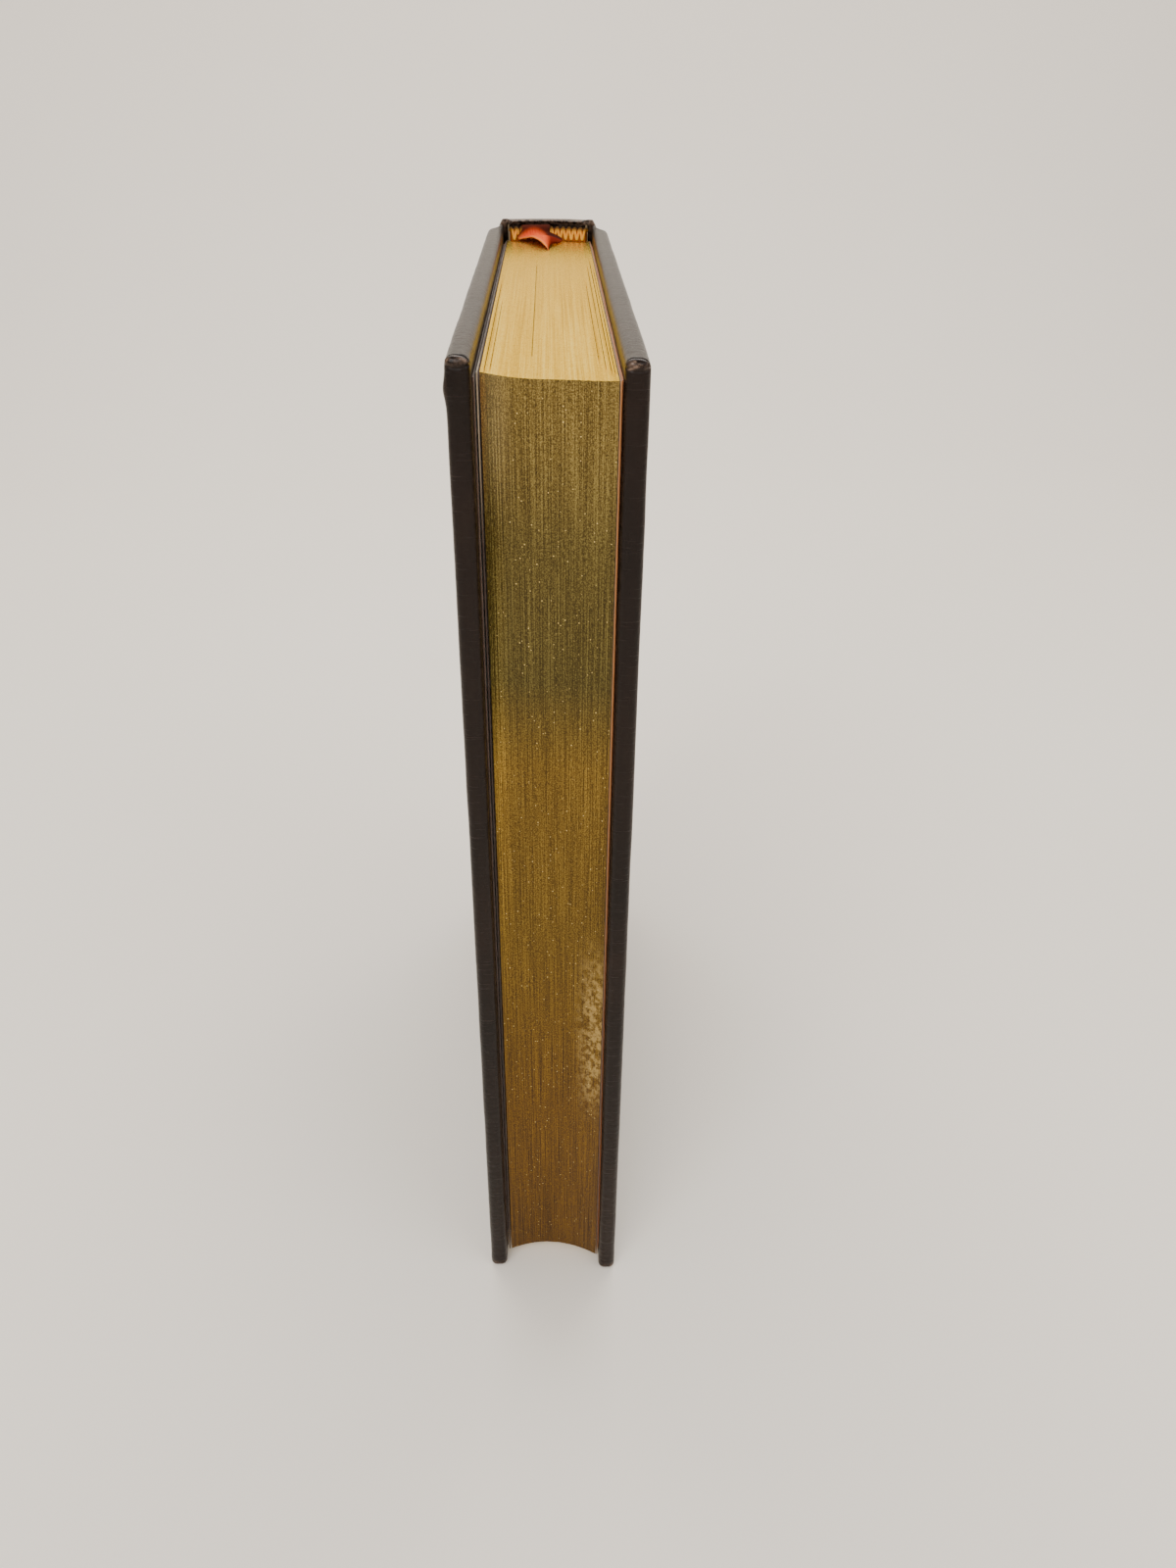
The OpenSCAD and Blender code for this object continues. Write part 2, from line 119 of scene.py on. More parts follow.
# Spine
SPINE_H = 236.0
SPINE_HALF = 13.5
SPINE_R = 31.875
SPINE_CY = 52.0
SHOULDER_R = 1.4
SHOULDER_Y = 78.875
LIP_R = 29.625
FOLD_X = 11.4
CAP_R = 1.0
CAP_LEAN = 1.1
CAP_SWELL = 0.6
BAND_Z = (46.0, 84.5, 123.0, 161.5, 200.0)
BAND_RISE = 1.5
JOINT_SINK = 0.5
# Lines beside each band and near the spine's ends: how far off, how deep, half the width
BAND_LINES = ((5.2, 0.16, 0.32), (6.6, 0.10, 0.22))
END_LINES = ((8.0, 0.16, 0.32), (9.4, 0.10, 0.22))

# Endpapers. A leaf's cut edge carries painted shade, and is bright higher up or near the
# fore-edge's head corner
LEAF_T = 0.2
PASTE_MARGIN = 4.0
FRONT_EDGE_Z = (200.0, 225.0)
BACK_EDGE_Z = (70.0, 160.0)
LEAF_EDGE_Y = (-60.0, -76.0)

# Ribbon and headbands
RIBBON_W = 9.0
RIBBON_T = 0.3
RIBBON_X = -3.9
RIBBON_GLUED = 30.0
RIBBON_REACH = 190.0
RIBBON_TUCK = 1.5
RIBBON_CLEAR = 0.15
HEADBAND_H = 3.4
TAILBAND_H = 2.4
BAND_T = 2.2
THREAD_RISE = 0.15
THREAD_PITCH = 1.65
THREAD_R = 0.36
TAPE_D = 10.0

# Tables of random values: their sizes, and where the patterns start in them
NOISE_LINE = 4096
NOISE_CUBE = 32
NOISE_START = 1000


def srgb(red, green, blue):
    """A colour written in 0 to 255 steps, as the linear colour that a shader takes."""
    linear = []
    for step in (red, green, blue):
        value = step / 255
        linear.append(value / 12.92 if value <= 0.04045 else ((value + 0.055) / 1.055) ** 2.4)
    return (*linear, 1.0)


def smooth(t):
    """0 below t = 0, 1 above t = 1, and smooth between."""
    t = np.clip(t, 0, 1)
    return t * t * (3 - 2 * t)


def in_cells(at, cell):
    """Which cell each value lies in, and how far into it, from 0 to 1."""
    at = np.asarray(at, float) / cell + NOISE_START
    low = np.floor(at).astype(int)
    return low, smooth(at - low)


def noise_1d(x, cell, seed):
    """Smooth random values from -1 to 1 along x, with a new value in each cell."""
    values = np.random.default_rng(seed).uniform(-1, 1, NOISE_LINE)
    low, t = in_cells(x, cell)
    return values[low % NOISE_LINE] * (1 - t) + values[(low + 1) % NOISE_LINE] * t


def noise_3d(points, cell, seed):
    """Smooth random values from -1 to 1 at points of the space."""
    values = np.random.default_rng(seed).uniform(-1, 1, (NOISE_CUBE,) * 3)
    low, t = in_cells(points, cell)
    total = 0
    for corner in np.ndindex(2, 2, 2):
        step = np.array(corner)
        index = (low + step) % NOISE_CUBE
        weight = np.prod(np.where(step == 1, t, 1 - t), axis=-1)
        total = total + weight * values[index[..., 0], index[..., 1], index[..., 2]]
    return total


def ticks(marks, steps):
    """Rising values through the marks, with about the given step between each two."""
    values = []
    for start, end, step in zip(marks, marks[1:], steps):
        count = max(1, round(abs(end - start) / step))
        values.append(np.linspace(start, end, count + 1))
    return np.unique(np.round(np.concatenate(values), 6))


def rising(*parts):
    """The parts' values in rising order, each once."""
    return np.unique(np.round(np.concatenate(parts), 4))


def turn(angle, steps):
    """Cosine and sine of the angles from 0 to the given one, in equal steps."""
    return [(math.cos(angle * i / steps), math.sin(angle * i / steps)) for i in range(steps + 1)]


def at_height(line, z):
    """A line in plan with its height."""
    return np.column_stack([line, np.broadcast_to(z, len(line))])


def wall(line, levels):
    """A grid that stands on a line in plan, with one row a level."""
    return np.array([at_height(line, z) for z in levels])


def add(name, data):
    """A new object in the scene."""
    made = bpy.data.objects.new(name, data)
    bpy.context.scene.collection.objects.link(made)
    return made


def piece(name, patches, materials, sharp, shift=None, wear_and_highlight=None):
    """A mesh from grids of points in millimetres, each with the index of its material."""
    points = []
    faces = []
    slots = []
    base = 0
    for grid, slot in patches:
        rows, cols = grid.shape[:2]
        index = base + np.arange(rows * cols).reshape(rows, cols)
        quads = np.stack(
            [index[:-1, :-1], index[:-1, 1:], index[1:, 1:], index[1:, :-1]], axis=-1
        ).reshape(-1, 4)
        points.append(grid.reshape(-1, 3))
        faces.append(quads)
        slots.append(np.full(len(quads), slot))
        base += rows * cols
    mesh = bpy.data.meshes.new(name)
    mesh.from_pydata((np.vstack(points) * MM).tolist(), [], np.vstack(faces).tolist())
    for material in materials:
        mesh.materials.append(material)
    mesh.polygons.foreach_set("material_index", np.concatenate(slots).astype(np.int32))
    work = bmesh.new()
    work.from_mesh(mesh)
    bmesh.ops.remove_doubles(work, verts=work.verts, dist=2e-6)
    bmesh.ops.dissolve_degenerate(work, edges=work.edges, dist=1e-6)
    bmesh.ops.recalc_face_normals(work, faces=work.faces)
    work.to_mesh(mesh)
    work.free()
    mesh.update()
    co = np.array([v.co for v in mesh.vertices]) / MM
    if shift is not None:
        normals = np.array([v.normal for v in mesh.vertices])
        co = co + normals * shift(co, normals)[:, None]
        co[:, 2] = np.maximum(co[:, 2], 0.0)
        mesh.vertices.foreach_set("co", (co * MM).ravel())
        mesh.update()
    rest = mesh.attributes.new("rest", "FLOAT_VECTOR", "POINT")
    rest.data.foreach_set("vector", co.astype(np.float32).ravel())
    worn = mesh.attributes.new("wear_and_highlight", "FLOAT", "POINT")
    amount = np.zeros(len(co)) if wear_and_highlight is None else wear_and_highlight(co)
    worn.data.foreach_set("value", amount.astype(np.float32))
    mesh.shade_smooth()
    mesh.set_sharp_from_angle(angle=math.radians(sharp))
    return add(name, mesh)


def lid(ring):
    """Closes a half-round line towards the middle between its feet."""
    foot = (ring[0] + ring[-1]) / 2
    return np.stack([ring, np.broadcast_to(foot, ring.shape)])


def mirrored(patches, side):
    """Patches drawn for the back cover, on the side that is wanted."""
    return [(grid * [side, 1.0, 1.0], slot) for grid, slot in patches]


def tube(path, radius, sides, taper):
    """A round thread along the path, thinner at its ends."""
    path = np.asarray(path, float)
    along = np.gradient(path, axis=0)
    along /= np.linalg.norm(along, axis=1)[:, None]
    across = np.cross(along, [0.0, 0.0, 1.0])
    flat = np.linalg.norm(across, axis=1) < 1e-3
    across[flat] = [1.0, 0.0, 0.0]
    for i in range(1, len(across)):
        if across[i] @ across[i - 1] < 0:
            across[i] = -across[i]
    across /= np.linalg.norm(across, axis=1)[:, None]
    other = np.cross(along, across)
    angle = np.linspace(0, 2 * math.pi, sides + 1)
    width = np.full(len(path), radius)
    width[[0, -1]] *= 1 - taper
    ring = across[:, None] * np.cos(angle)[:, None]
    ring = ring + other[:, None] * np.sin(angle)[:, None]
    return path[:, None] + ring * width[:, None, None]


class Shader:
    """A material's nodes. Lengths in its patterns are millimetres on the object."""

    def __init__(self, name, rest=False):
        self.material = bpy.data.materials.new(name)
        self.material.use_nodes = True
        self.tree = self.material.node_tree
        self.tree.nodes.clear()
        self.surface = self.node("BsdfPrincipled")
        self.node("OutputMaterial", {"Surface": self.surface.outputs["BSDF"]})
        if rest:
            self.place = self.node("Attribute", attribute_name="rest").outputs["Vector"]
        else:
            there = self.node("TexCoord").outputs["Object"]
            self.place = self.scaled(there, 1 / MM)

    def node(self, kind, inputs=None, **settings):
        made = self.tree.nodes.new("ShaderNode" + kind)
        for key, value in settings.items():
            setattr(made, key, value)
        for key, value in (inputs or {}).items():
            self.feed(made.inputs[key], value)
        return made

    def feed(self, socket, value):
        """Links an input or sets its value, if there is one. A colour is in 0 to 255 steps."""
        if isinstance(value, bpy.types.NodeSocket):
            self.tree.links.new(value, socket)
        elif socket.type == "RGBA" and len(value) == 3:
            socket.default_value = srgb(*value)
        elif value is not None:
            socket.default_value = value

    def scaled(self, value, scale):
        return self.node("VectorMath", {0: value, "Scale": scale}, operation="SCALE").outputs[0]

    def stretched(self, density):
        return self.node("VectorMath", {0: self.place, 1: density}, operation="MULTIPLY").outputs[0]

    def math(self, operation, a, b=0.0, clamp=False):
        return self.node("Math", {0: a, 1: b}, operation=operation, use_clamp=clamp).outputs[0]

    def times(self, a, b):
        return self.math("MULTIPLY", a, b)

    def plus(self, a, b):
        return self.math("ADD", a, b)

    def axis(self, name):
        return self.node("SeparateXYZ", {0: self.place}).outputs[name]

    def noise(self, density, detail=3.0, rough=0.55, warp=0.0):
        """Soft noise with that many features a millimetre along x, y and z."""
        inputs = {"Vector": self.stretched(density), "Scale": 1.0, "Detail": detail}
        inputs |= {"Roughness": rough, "Distortion": warp}
        return self.node("TexNoise", inputs).outputs["Fac"]

    def cells(self, density, feature="F1", output="Distance"):
        """Round cells, that many a millimetre along x, y and z."""
        inputs = {"Vector": self.stretched(density), "Scale": 1.0}
        return self.node("TexVoronoi", inputs, feature=feature).outputs[output]

    def span(self, value, low, high, to_low=0.0, to_high=1.0, kind="SMOOTHSTEP"):
        """value from low to high becomes to_low to to_high, and stays there outside."""
        numbers = dict(enumerate((value, low, high, to_low, to_high)))
        return self.node("MapRange", numbers, interpolation_type=kind).outputs["Result"]

    def along(self, name, low, high, kind="SMOOTHSTEP"):
        """0 to 1 from low to high along an axis."""
        return self.span(self.axis(name), low, high, kind=kind)

    def mix(self, share, a, b, blend="MIX"):
        inputs = {0: share, 6: a, 7: b}
        return self.node("Mix", inputs, data_type="RGBA", blend_type=blend).outputs[2]

    def ramp(self, value, *stops):
        made = self.node("ValToRGB", {0: value})
        spots = made.color_ramp.elements
        spots.remove(spots[1])
        for i, (at, colour) in enumerate(stops):
            spot = spots[0] if i == 0 else spots.new(at)
            spot.position = at
            spot.color = srgb(*colour)
        return made.outputs["Color"]

    def bump(self, height, depth, normal=None):
        """Relief of the given depth in millimetres where height runs from 0 to 1."""
        inputs = {"Height": height, "Strength": 1.0, "Distance": depth * MM, "Normal": normal}
        return self.node("Bump", inputs).outputs["Normal"]

    def wear_and_highlight(self):
        return self.node("Attribute", attribute_name="wear_and_highlight").outputs["Fac"]

    def finish(self, colour, rough, normal=None, **others):
        """Fills inputs of the surface and returns the finished material."""
        others |= {"Base_Color": colour, "Roughness": rough, "Normal": normal}
        for key, value in others.items():
            self.feed(self.surface.inputs[key.replace("_", " ")], value)
        return self.material


def leather_material(name, rest=False):
    """Dark brown calf with a fine pebbled grain, hairline creases and worn corners."""
    s = Shader(name, rest)
    clouds = s.noise((0.045, 0.045, 0.03), 4.0, 0.6)
    grain = s.cells((0.95, 0.95, 0.95), "SMOOTH_F1")
    pores = s.noise((3.2, 3.2, 3.2), 3.0, 0.6)
    creases = s.noise((0.12, 0.12, 2.6), 3.0, 0.7, 0.3)
    base = s.ramp(clouds, (0.30, (19, 12, 8)), (0.55, (26, 16, 11)), (0.75, (35, 23, 16)))
    lines = s.span(creases, 0.60, 0.72)
    base = s.mix(s.times(lines, 0.35), base, (60, 44, 35))
    patchy = s.noise((0.9, 0.9, 0.9), 4.0, 0.65)
    worn = s.times(s.wear_and_highlight(), s.span(patchy, 0.38, 0.60))
    base = s.mix(worn, base, (130, 106, 90))
    height = s.plus(s.times(grain, 0.7), s.times(pores, 0.3))
    normal = s.bump(height, 0.08)
    normal = s.bump(lines, 0.05, normal)
    rough = s.span(pores, 0.3, 0.7, 0.27, 0.40, "LINEAR")
    rough = s.math("SUBTRACT", rough, s.times(s.wear_and_highlight(), 0.4), clamp=True)
    return s.finish(base, rough, normal, Specular_IOR_Level=0.17, IOR=1.5)


def gilt_fore_material(name):
    """The gilt fore-edge: leaf lines, a grainy metal sheen, and painted glints, reflection and
    light.
    """
    s = Shader(name)
    coarse = s.noise((4.8, 0.05, 0.02), 1.0, 0.5)
    fine = s.noise((7.5, 0.05, 0.035), 2.0, 0.6)
    dust = s.noise((4.6, 4.6, 3.6), 2.0, 0.75)
    lines = s.plus(s.times(coarse, 0.12), s.times(fine, 0.38))
    lines = s.plus(lines, s.times(dust, 0.50))
    base = s.ramp(lines, (0.40, (84, 67, 29)), (0.50, (143, 118, 57)), (0.59, (216, 190, 114)))
    # Painted reflection: a tone that changes with height, warm low down and grey olive higher up
    tone = s.ramp(
        s.along("Z", 0.0, HEAD_Z, kind="LINEAR"),
        (0.05, (160, 130, 44)), (0.26, (162, 136, 62)), (0.50, (166, 152, 102)),
        (0.68, (178, 164, 122)), (0.76, (134, 137, 124)), (0.88, (154, 156, 146)),
        (1.0, (200, 195, 184)),
    )
    base = s.mix(1.0, base, tone, "MULTIPLY")
    # Painted light: the side and top towards the front cover are lightened against its shadow
    painted_light_side = s.times(s.along("X", -7.0, -10.6), s.along("Z", 80.0, 190.0))
    painted_light_top = s.times(s.along("X", -5.0, -9.6), s.along("Z", 202.0, 226.0))
    base = s.mix(s.times(painted_light_top, 0.10), base, (226, 206, 160))
    lift = s.plus(s.times(painted_light_side, 0.9), s.times(painted_light_top, 0.6))
    base = s.scaled(base, s.plus(lift, 1.0))
    blotch = s.noise((0.7, 0.7, 0.5), 4.0, 0.7)
    place = s.times(s.along("X", 4.5, 9.5), s.along("Z", 118.0, 92.0))
    place = s.times(place, s.along("Z", 52.0, 74.0))
    rubbed = s.times(place, s.span(blotch, 0.42, 0.60))
    base = s.mix(s.times(rubbed, 0.5), base, (206, 176, 108))
    # Painted glints: tiny pale gold specks scattered over the edge
    glint = s.cells((2.4, 2.4, 2.4))
    pick = s.node("SeparateColor", {0: s.cells((2.4, 2.4, 2.4), output="Color")}).outputs[0]
    painted_glint = s.times(s.span(glint, 0.32, 0.18), s.span(pick, 0.945, 0.995))
    base = s.mix(painted_glint, base, (255, 224, 140))
    rough = s.span(dust, 0.3, 0.7, 0.30, 0.46, "LINEAR")
    normal = s.bump(lines, 0.045)
    return s.finish(base, rough, normal, Metallic=0.75)


def gilt_head_material(name):
    """The gilt head and tail: pale gold, smooth and painted in shade at the back, leaf lines
    towards the front.
    """
    s = Shader(name)
    coarse = s.noise((2.6, 0.012, 0.05), 2.0, 0.6)
    fine = s.noise((7.5, 0.03, 0.05), 2.0, 0.6)
    dust = s.noise((3.0, 1.0, 3.0), 3.0, 0.6)
    lines = s.plus(s.times(coarse, 0.50), s.times(fine, 0.35))
    lines = s.plus(lines, s.times(dust, 0.15))
    plain = s.along("Y", -30.0, 40.0)
    base = s.ramp(lines, (0.36, (200, 164, 70)), (0.50, (240, 207, 104)), (0.62, (255, 234, 140)))
    base = s.mix(s.times(plain, 0.75), base, (234, 204, 104))
    # Painted shade: the back, near the headband and the spine's cap, is darkened
    painted_shade_near_band = s.along("Y", 45.0, 76.0)
    base = s.mix(s.times(painted_shade_near_band, 0.4), base, (176, 148, 84))
    rough = s.span(dust, 0.3, 0.7, 0.24, 0.34, "LINEAR")
    rough = s.math("SUBTRACT", rough, s.times(plain, 0.03))
    height = s.mix(plain, lines, (0.5, 0.5, 0.5, 1.0))
    return s.finish(
        base, rough, s.bump(height, 0.06), Metallic=0.88,
        Specular_Tint=(255, 222, 124), Specular_IOR_Level=0.25,
    )


def paper_material(name, light, dark, density=(0.35, 0.35, 0.35)):
    """Laid paper or card, with fibres and a faint tone."""
    s = Shader(name)
    fibres = s.noise((4.0, 0.8, 2.0), 4.0, 0.7)
    tone = s.noise(density, 4.0, 0.6)
    mottle = s.plus(s.times(fibres, 0.5), s.times(tone, 0.5))
    base = s.ramp(mottle, (0.35, dark), (0.65, light))
    return s.finish(base, 0.85, s.bump(fibres, 0.03), Sheen_Weight=0.05)


def endpaper_material(
    name, rest=False, edge=None, shaded_edge=None, bright_z=FRONT_EDGE_Z, bright_y=LEAF_EDGE_Y
):
    """Bronze-coloured watered silk: fine cords with wavy, shiny bands, and cut edges with painted
    shade and light.
    """
    s = Shader(name, rest)
    weave = s.noise((0.4, 0.35, 6.0), 2.0, 0.5)
    water = s.noise((0.02, 0.035, 0.16), 3.0, 0.5, 1.6)
    rings = s.math("SINE", s.times(water, 60.0))
    shine = s.span(rings, -0.6, 0.8)
    base = s.mix(shine, (134, 90, 50), (182, 132, 82))
    base = s.mix(s.span(weave, 0.35, 0.65), base, s.mix(0.5, base, (104, 66, 36)))
    # The cut edge: its own colour where lit, and elsewhere the shaded colour as painted shade
    if edge:
        facing = s.node("SeparateXYZ", {0: s.node("TexCoord").outputs["Normal"]}).outputs["X"]
        near_corner = s.along("Z", *bright_z)
        if bright_y:
            near_corner = s.times(near_corner, s.along("Y", *bright_y))
        cut = s.mix(near_corner, shaded_edge or edge, edge)
        base = s.mix(s.span(s.math("ABSOLUTE", facing), 0.6, 0.4), base, cut)
    normal = s.bump(weave, 0.04)
    rough = s.span(shine, 0.0, 1.0, 0.52, 0.36, "LINEAR")
    return s.finish(base, rough, normal, Sheen_Weight=0.2, Sheen_Roughness=0.35)


def thread_material(name, light, dark):
    """Silk thread: fine twisted fibres, a painted highlight low down, painted shade and duller
    gloss on top.
    """
    s = Shader(name)
    twist = s.noise((6.0, 6.0, 6.0), 3.0, 0.6, 0.8)
    base = s.mix(s.span(twist, 0.35, 0.65), dark, light)
    # Painted highlight: lighter below just above the pages' head; the tailband lies wholly below it
    painted_tip_highlight = s.along("Z", HEAD_Z + 1.7, HEAD_Z + 0.9)
    base = s.mix(s.times(painted_tip_highlight, 0.7), base, light)
    # Painted shade: the top of a band, under the spine's cap, is darkened and made duller
    painted_cap_shade = s.along("Z", HEAD_Z + 2.2, HEAD_Z + HEADBAND_H)
    base = s.mix(s.times(painted_cap_shade, 0.95), base, (52, 36, 23))
    rough = s.span(painted_cap_shade, 0.0, 1.0, 0.45, 0.95)
    return s.finish(
        base, rough, s.bump(twist, 0.04), Specular_IOR_Level=0.12, IOR=1.25,
        Subsurface_Weight=0.1, Subsurface_Scale=0.0004, Subsurface_Radius=(1.0, 0.5, 0.25),
    )


def satin_material(name):
    """Orange-red satin: fine lengthwise threads, soft gloss, painted edge highlights and painted
    shade.
    """
    s = Shader(name)
    warp = s.noise((5.0, 2.0, 0.6), 3.0, 0.6)
    base = s.mix(s.span(warp, 0.3, 0.7), (218, 72, 34), (250, 108, 54))
    # Painted highlight: the ribbon is lightened along both its edges
    base = s.mix(s.times(s.wear_and_highlight(), 0.85), base, (255, 146, 72))
    # Painted shade: the ribbon's part right of the middle, above the pages' head, is darkened
    painted_right_shade = s.times(s.along("X", -1.0, 1.0), s.along("Z", HEAD_Z - 1.0, HEAD_Z))
    base = s.mix(s.times(painted_right_shade, 0.93), base, (88, 20, 16))
    # Painted shade: the ribbon's top under the spine's cap is darkened, lower at its sides near the
    # back
    from_middle = s.math("SUBTRACT", s.axis("X"), RIBBON_X)
    sag = s.times(s.times(from_middle, from_middle), 0.12)
    sag = s.times(sag, s.along("Y", 71.0, 75.0))
    painted_cap_shade = s.span(s.plus(s.axis("Z"), sag), HEAD_Z + 1.9, HEAD_Z + 4.0)
    base = s.mix(s.times(painted_cap_shade, 0.97), base, (62, 29, 24))
    return s.finish(
        base, 0.85, s.bump(warp, 0.03), Anisotropic=0.3, Specular_IOR_Level=0.05,
        Specular_Tint=(255, 170, 130), IOR=1.15, Subsurface_Weight=0.15,
        Subsurface_Scale=0.0005, Subsurface_Radius=(1.0, 0.35, 0.2),
    )


def cover_fore_y(side):
    """Where a cover's fore-edge is: -1 is the front cover and 1 the back cover."""
    return FORE_Y - side * COVER_LEAD / 2


def cover_back_y(side):
    return cover_fore_y(side) + COVER_W


def rim_section():
    """A cover's rim from the face over the edge to the inside: x, and depth from the edge."""
    middle = (COVER_IN + COVER_OUT) / 2
    section = [(COVER_OUT, CORNER_R)]
    for cos, sin in turn(QUARTER, 8):
        section.append((COVER_OUT - EDGE_R + EDGE_R * cos, EDGE_R - EDGE_R * sin))
    section += [(middle + 0.3, 0.0), (middle - 0.3, 0.0)]
    for cos, sin in turn(QUARTER, 8):
        section.append((COVER_IN + EDGE_R - EDGE_R * sin, EDGE_R - EDGE_R * cos))
    return section + [(COVER_IN, CORNER_R)]


def rim_path(y0, along_y, along_z):
    """The rim's course by the tail, the fore-edge and the head: y, z and the way outwards."""
    high = COVER_H - CORNER_R
    path = [(y, 0.0, 0.0, -1.0) for y in along_y[::-1]]
    for cos, sin in turn(QUARTER, 12)[1:-1]:
        path.append((y0 + CORNER_R - CORNER_R * sin, CORNER_R - CORNER_R * cos, -sin, -cos))
    path += [(y0, z, -1.0, 0.0) for z in along_z]
    for cos, sin in turn(QUARTER, 28)[1:-1]:
        path.append((y0 + CORNER_R - CORNER_R * cos, high + CORNER_R * sin, -cos, sin))
    path += [(y, COVER_H, 0.0, 1.0) for y in along_y]
    return np.array(path)


def cover_leather(side, name, leather):
    """A cover's leather: face with its tooled border, rounded edges and turned-in margin."""
    y0 = cover_fore_y(side)
    y1 = cover_back_y(side)
    middle = (COVER_IN + COVER_OUT) / 2
    slopes = (-BORDER_SLOPE, 0.0, BORDER_SLOPE)
    border = [[start + off, start + width + off] for start, width, _ in BORDER for off in slopes]
    border = np.ravel(border)
    high = COVER_H - CORNER_R
    face_y = rising(ticks((y0 + CORNER_R, y1), (COVER_GRID,)), y0 + border, y1 - border)
    face_z = rising(ticks((CORNER_R, high), (COVER_GRID,)), border, COVER_H - border)
    near_y = ticks((y0 + CORNER_R, y0 + FINE_W, y1), (0.16, COVER_GRID))
    near_z = ticks((CORNER_R, FINE_W, COVER_H - FINE_W, high), (0.2, COVER_GRID, 0.16))
    along_y = rising(near_y, face_y)
    along_z = rising(near_z, face_z)
    grid_y, grid_z = np.meshgrid(face_y, face_z)
    edge = np.minimum(np.minimum(grid_y - y0, y1 - grid_y), np.minimum(grid_z, COVER_H - grid_z))
    sunk = np.zeros_like(edge)
    for start, width, deep in BORDER:
        inside = np.minimum(edge - start, start + width - edge)
        sunk += deep * smooth((inside + BORDER_SLOPE) / (2 * BORDER_SLOPE))
    face = np.stack([COVER_OUT - sunk, grid_y, grid_z], axis=-1)
    section = rim_section()
    path = rim_path(y0, along_y, along_z)
    rim = np.zeros((len(section), len(path), 3))
    for i, (x, depth) in enumerate(section):
        rim[i, :, 0] = x
        rim[i, :, 1] = path[:, 0] - path[:, 2] * depth
        rim[i, :, 2] = path[:, 1] - path[:, 3] * depth
    patches = [(face, 0), (rim, 0)]
    turned_in = TURN_IN_W + 0.01
    low = along_z[along_z <= turned_in]
    high = along_z[along_z >= COVER_H - turned_in]
    fore = along_y[along_y <= y0 + turned_in]
    for ys, zs in ((along_y, low), (along_y, high), (fore, along_z)):
        grid_y, grid_z = np.meshgrid(ys, zs)
        patches.append((np.stack(np.broadcast_arrays(COVER_IN, grid_y, grid_z), -1), 0))

    def corner(co):
        """Across the edge, from -1 inside to 1 outside, and how far up round the head corner."""
        across = (np.abs(co[:, 0]) - middle) / ((COVER_OUT - COVER_IN) / 2)
        rise = co[:, 2] - (COVER_H - CORNER_R)
        back = y0 + CORNER_R - co[:, 1]
        turned = CORNER_R * np.arctan2(np.maximum(rise, 0), np.maximum(back, 1e-6))
        along = np.where(rise < 0, rise, turned + np.maximum(-back, 0))
        return across, along

    def fold(co, normals):
        """Soft waves, the lip folded over the head corner and the tail's crease."""
        amount = 0.05 * noise_3d(co, 9.0, 11 + side) + 0.03 * noise_3d(co, 2.6, 12 + side)
        amount *= smooth((y1 - co[:, 1]) / 2)
        across, along = corner(co)
        slant = 0.3 * side
        top = 2.7 - 0.8 * across**2 - slant * across
        low = 0.2 + 0.85 * across**2
        inside = np.clip((along - low) / np.maximum(top - low, 0.2), 0, 1)
        shown = smooth((1.0 - np.abs(across)) / 0.3)
        lip = 0.42 * np.sin(math.pi * inside) ** 0.8
        crease = 0.62 * np.exp(-(((along - top) / 0.24) ** 2))
        under = 0.16 * np.exp(-(((along - low) / 0.3) ** 2))
        amount += shown * (lip - crease - under) * (co[:, 1] < y0 + FOLDS_W)
        tail = smooth((-normals[:, 2] - 0.25) / 0.5)
        amount -= tail * 0.4 * np.exp(-(((co[:, 1] - y0 - 1.9) / 0.3) ** 2)) * shown
        if side < 0:
            there = (co - [-COVER_OUT, y0 + BUMP_BACK, BUMP_Z]) / BUMP_SIZE
            amount += BUMP_RISE * np.exp(-np.sum(there**2, axis=1))
        return amount

    def worn(co):
        across, along = corner(co)
        near = co[:, 1] < y0 + FOLDS_W
        lip = np.exp(-(((along - 1.3) / 0.75) ** 2)) * (np.abs(across) < 0.95) * near
        for level, slope, start, end in RUBS[side]:
            off = (along - level - slope * across) / 0.17
            reach = smooth((across - start) / 0.15) * smooth((end - across) / 0.15)
            lip = lip + 3.6 * np.exp(-(off**2)) * reach * near
        far = np.hypot((co[:, 1] - y0) / 3.2, co[:, 2] / 2.6)
        tail = np.clip(1.25 - far, 0, 1) * (0.35 + 0.65 * np.clip(across, 0, 1))
        edge = smooth((np.abs(across) - 0.72) / 0.25) * 0.08
        away = np.minimum(co[:, 1] - y0, np.minimum(co[:, 2], COVER_H - co[:, 2]))
        edge = edge * smooth((2.2 - away) / 1.2)
        return np.clip(0.24 * lip + tail + edge, 0, 1)

    return piece(name, mirrored(patches, side), [leather], 50.0, fold, worn)


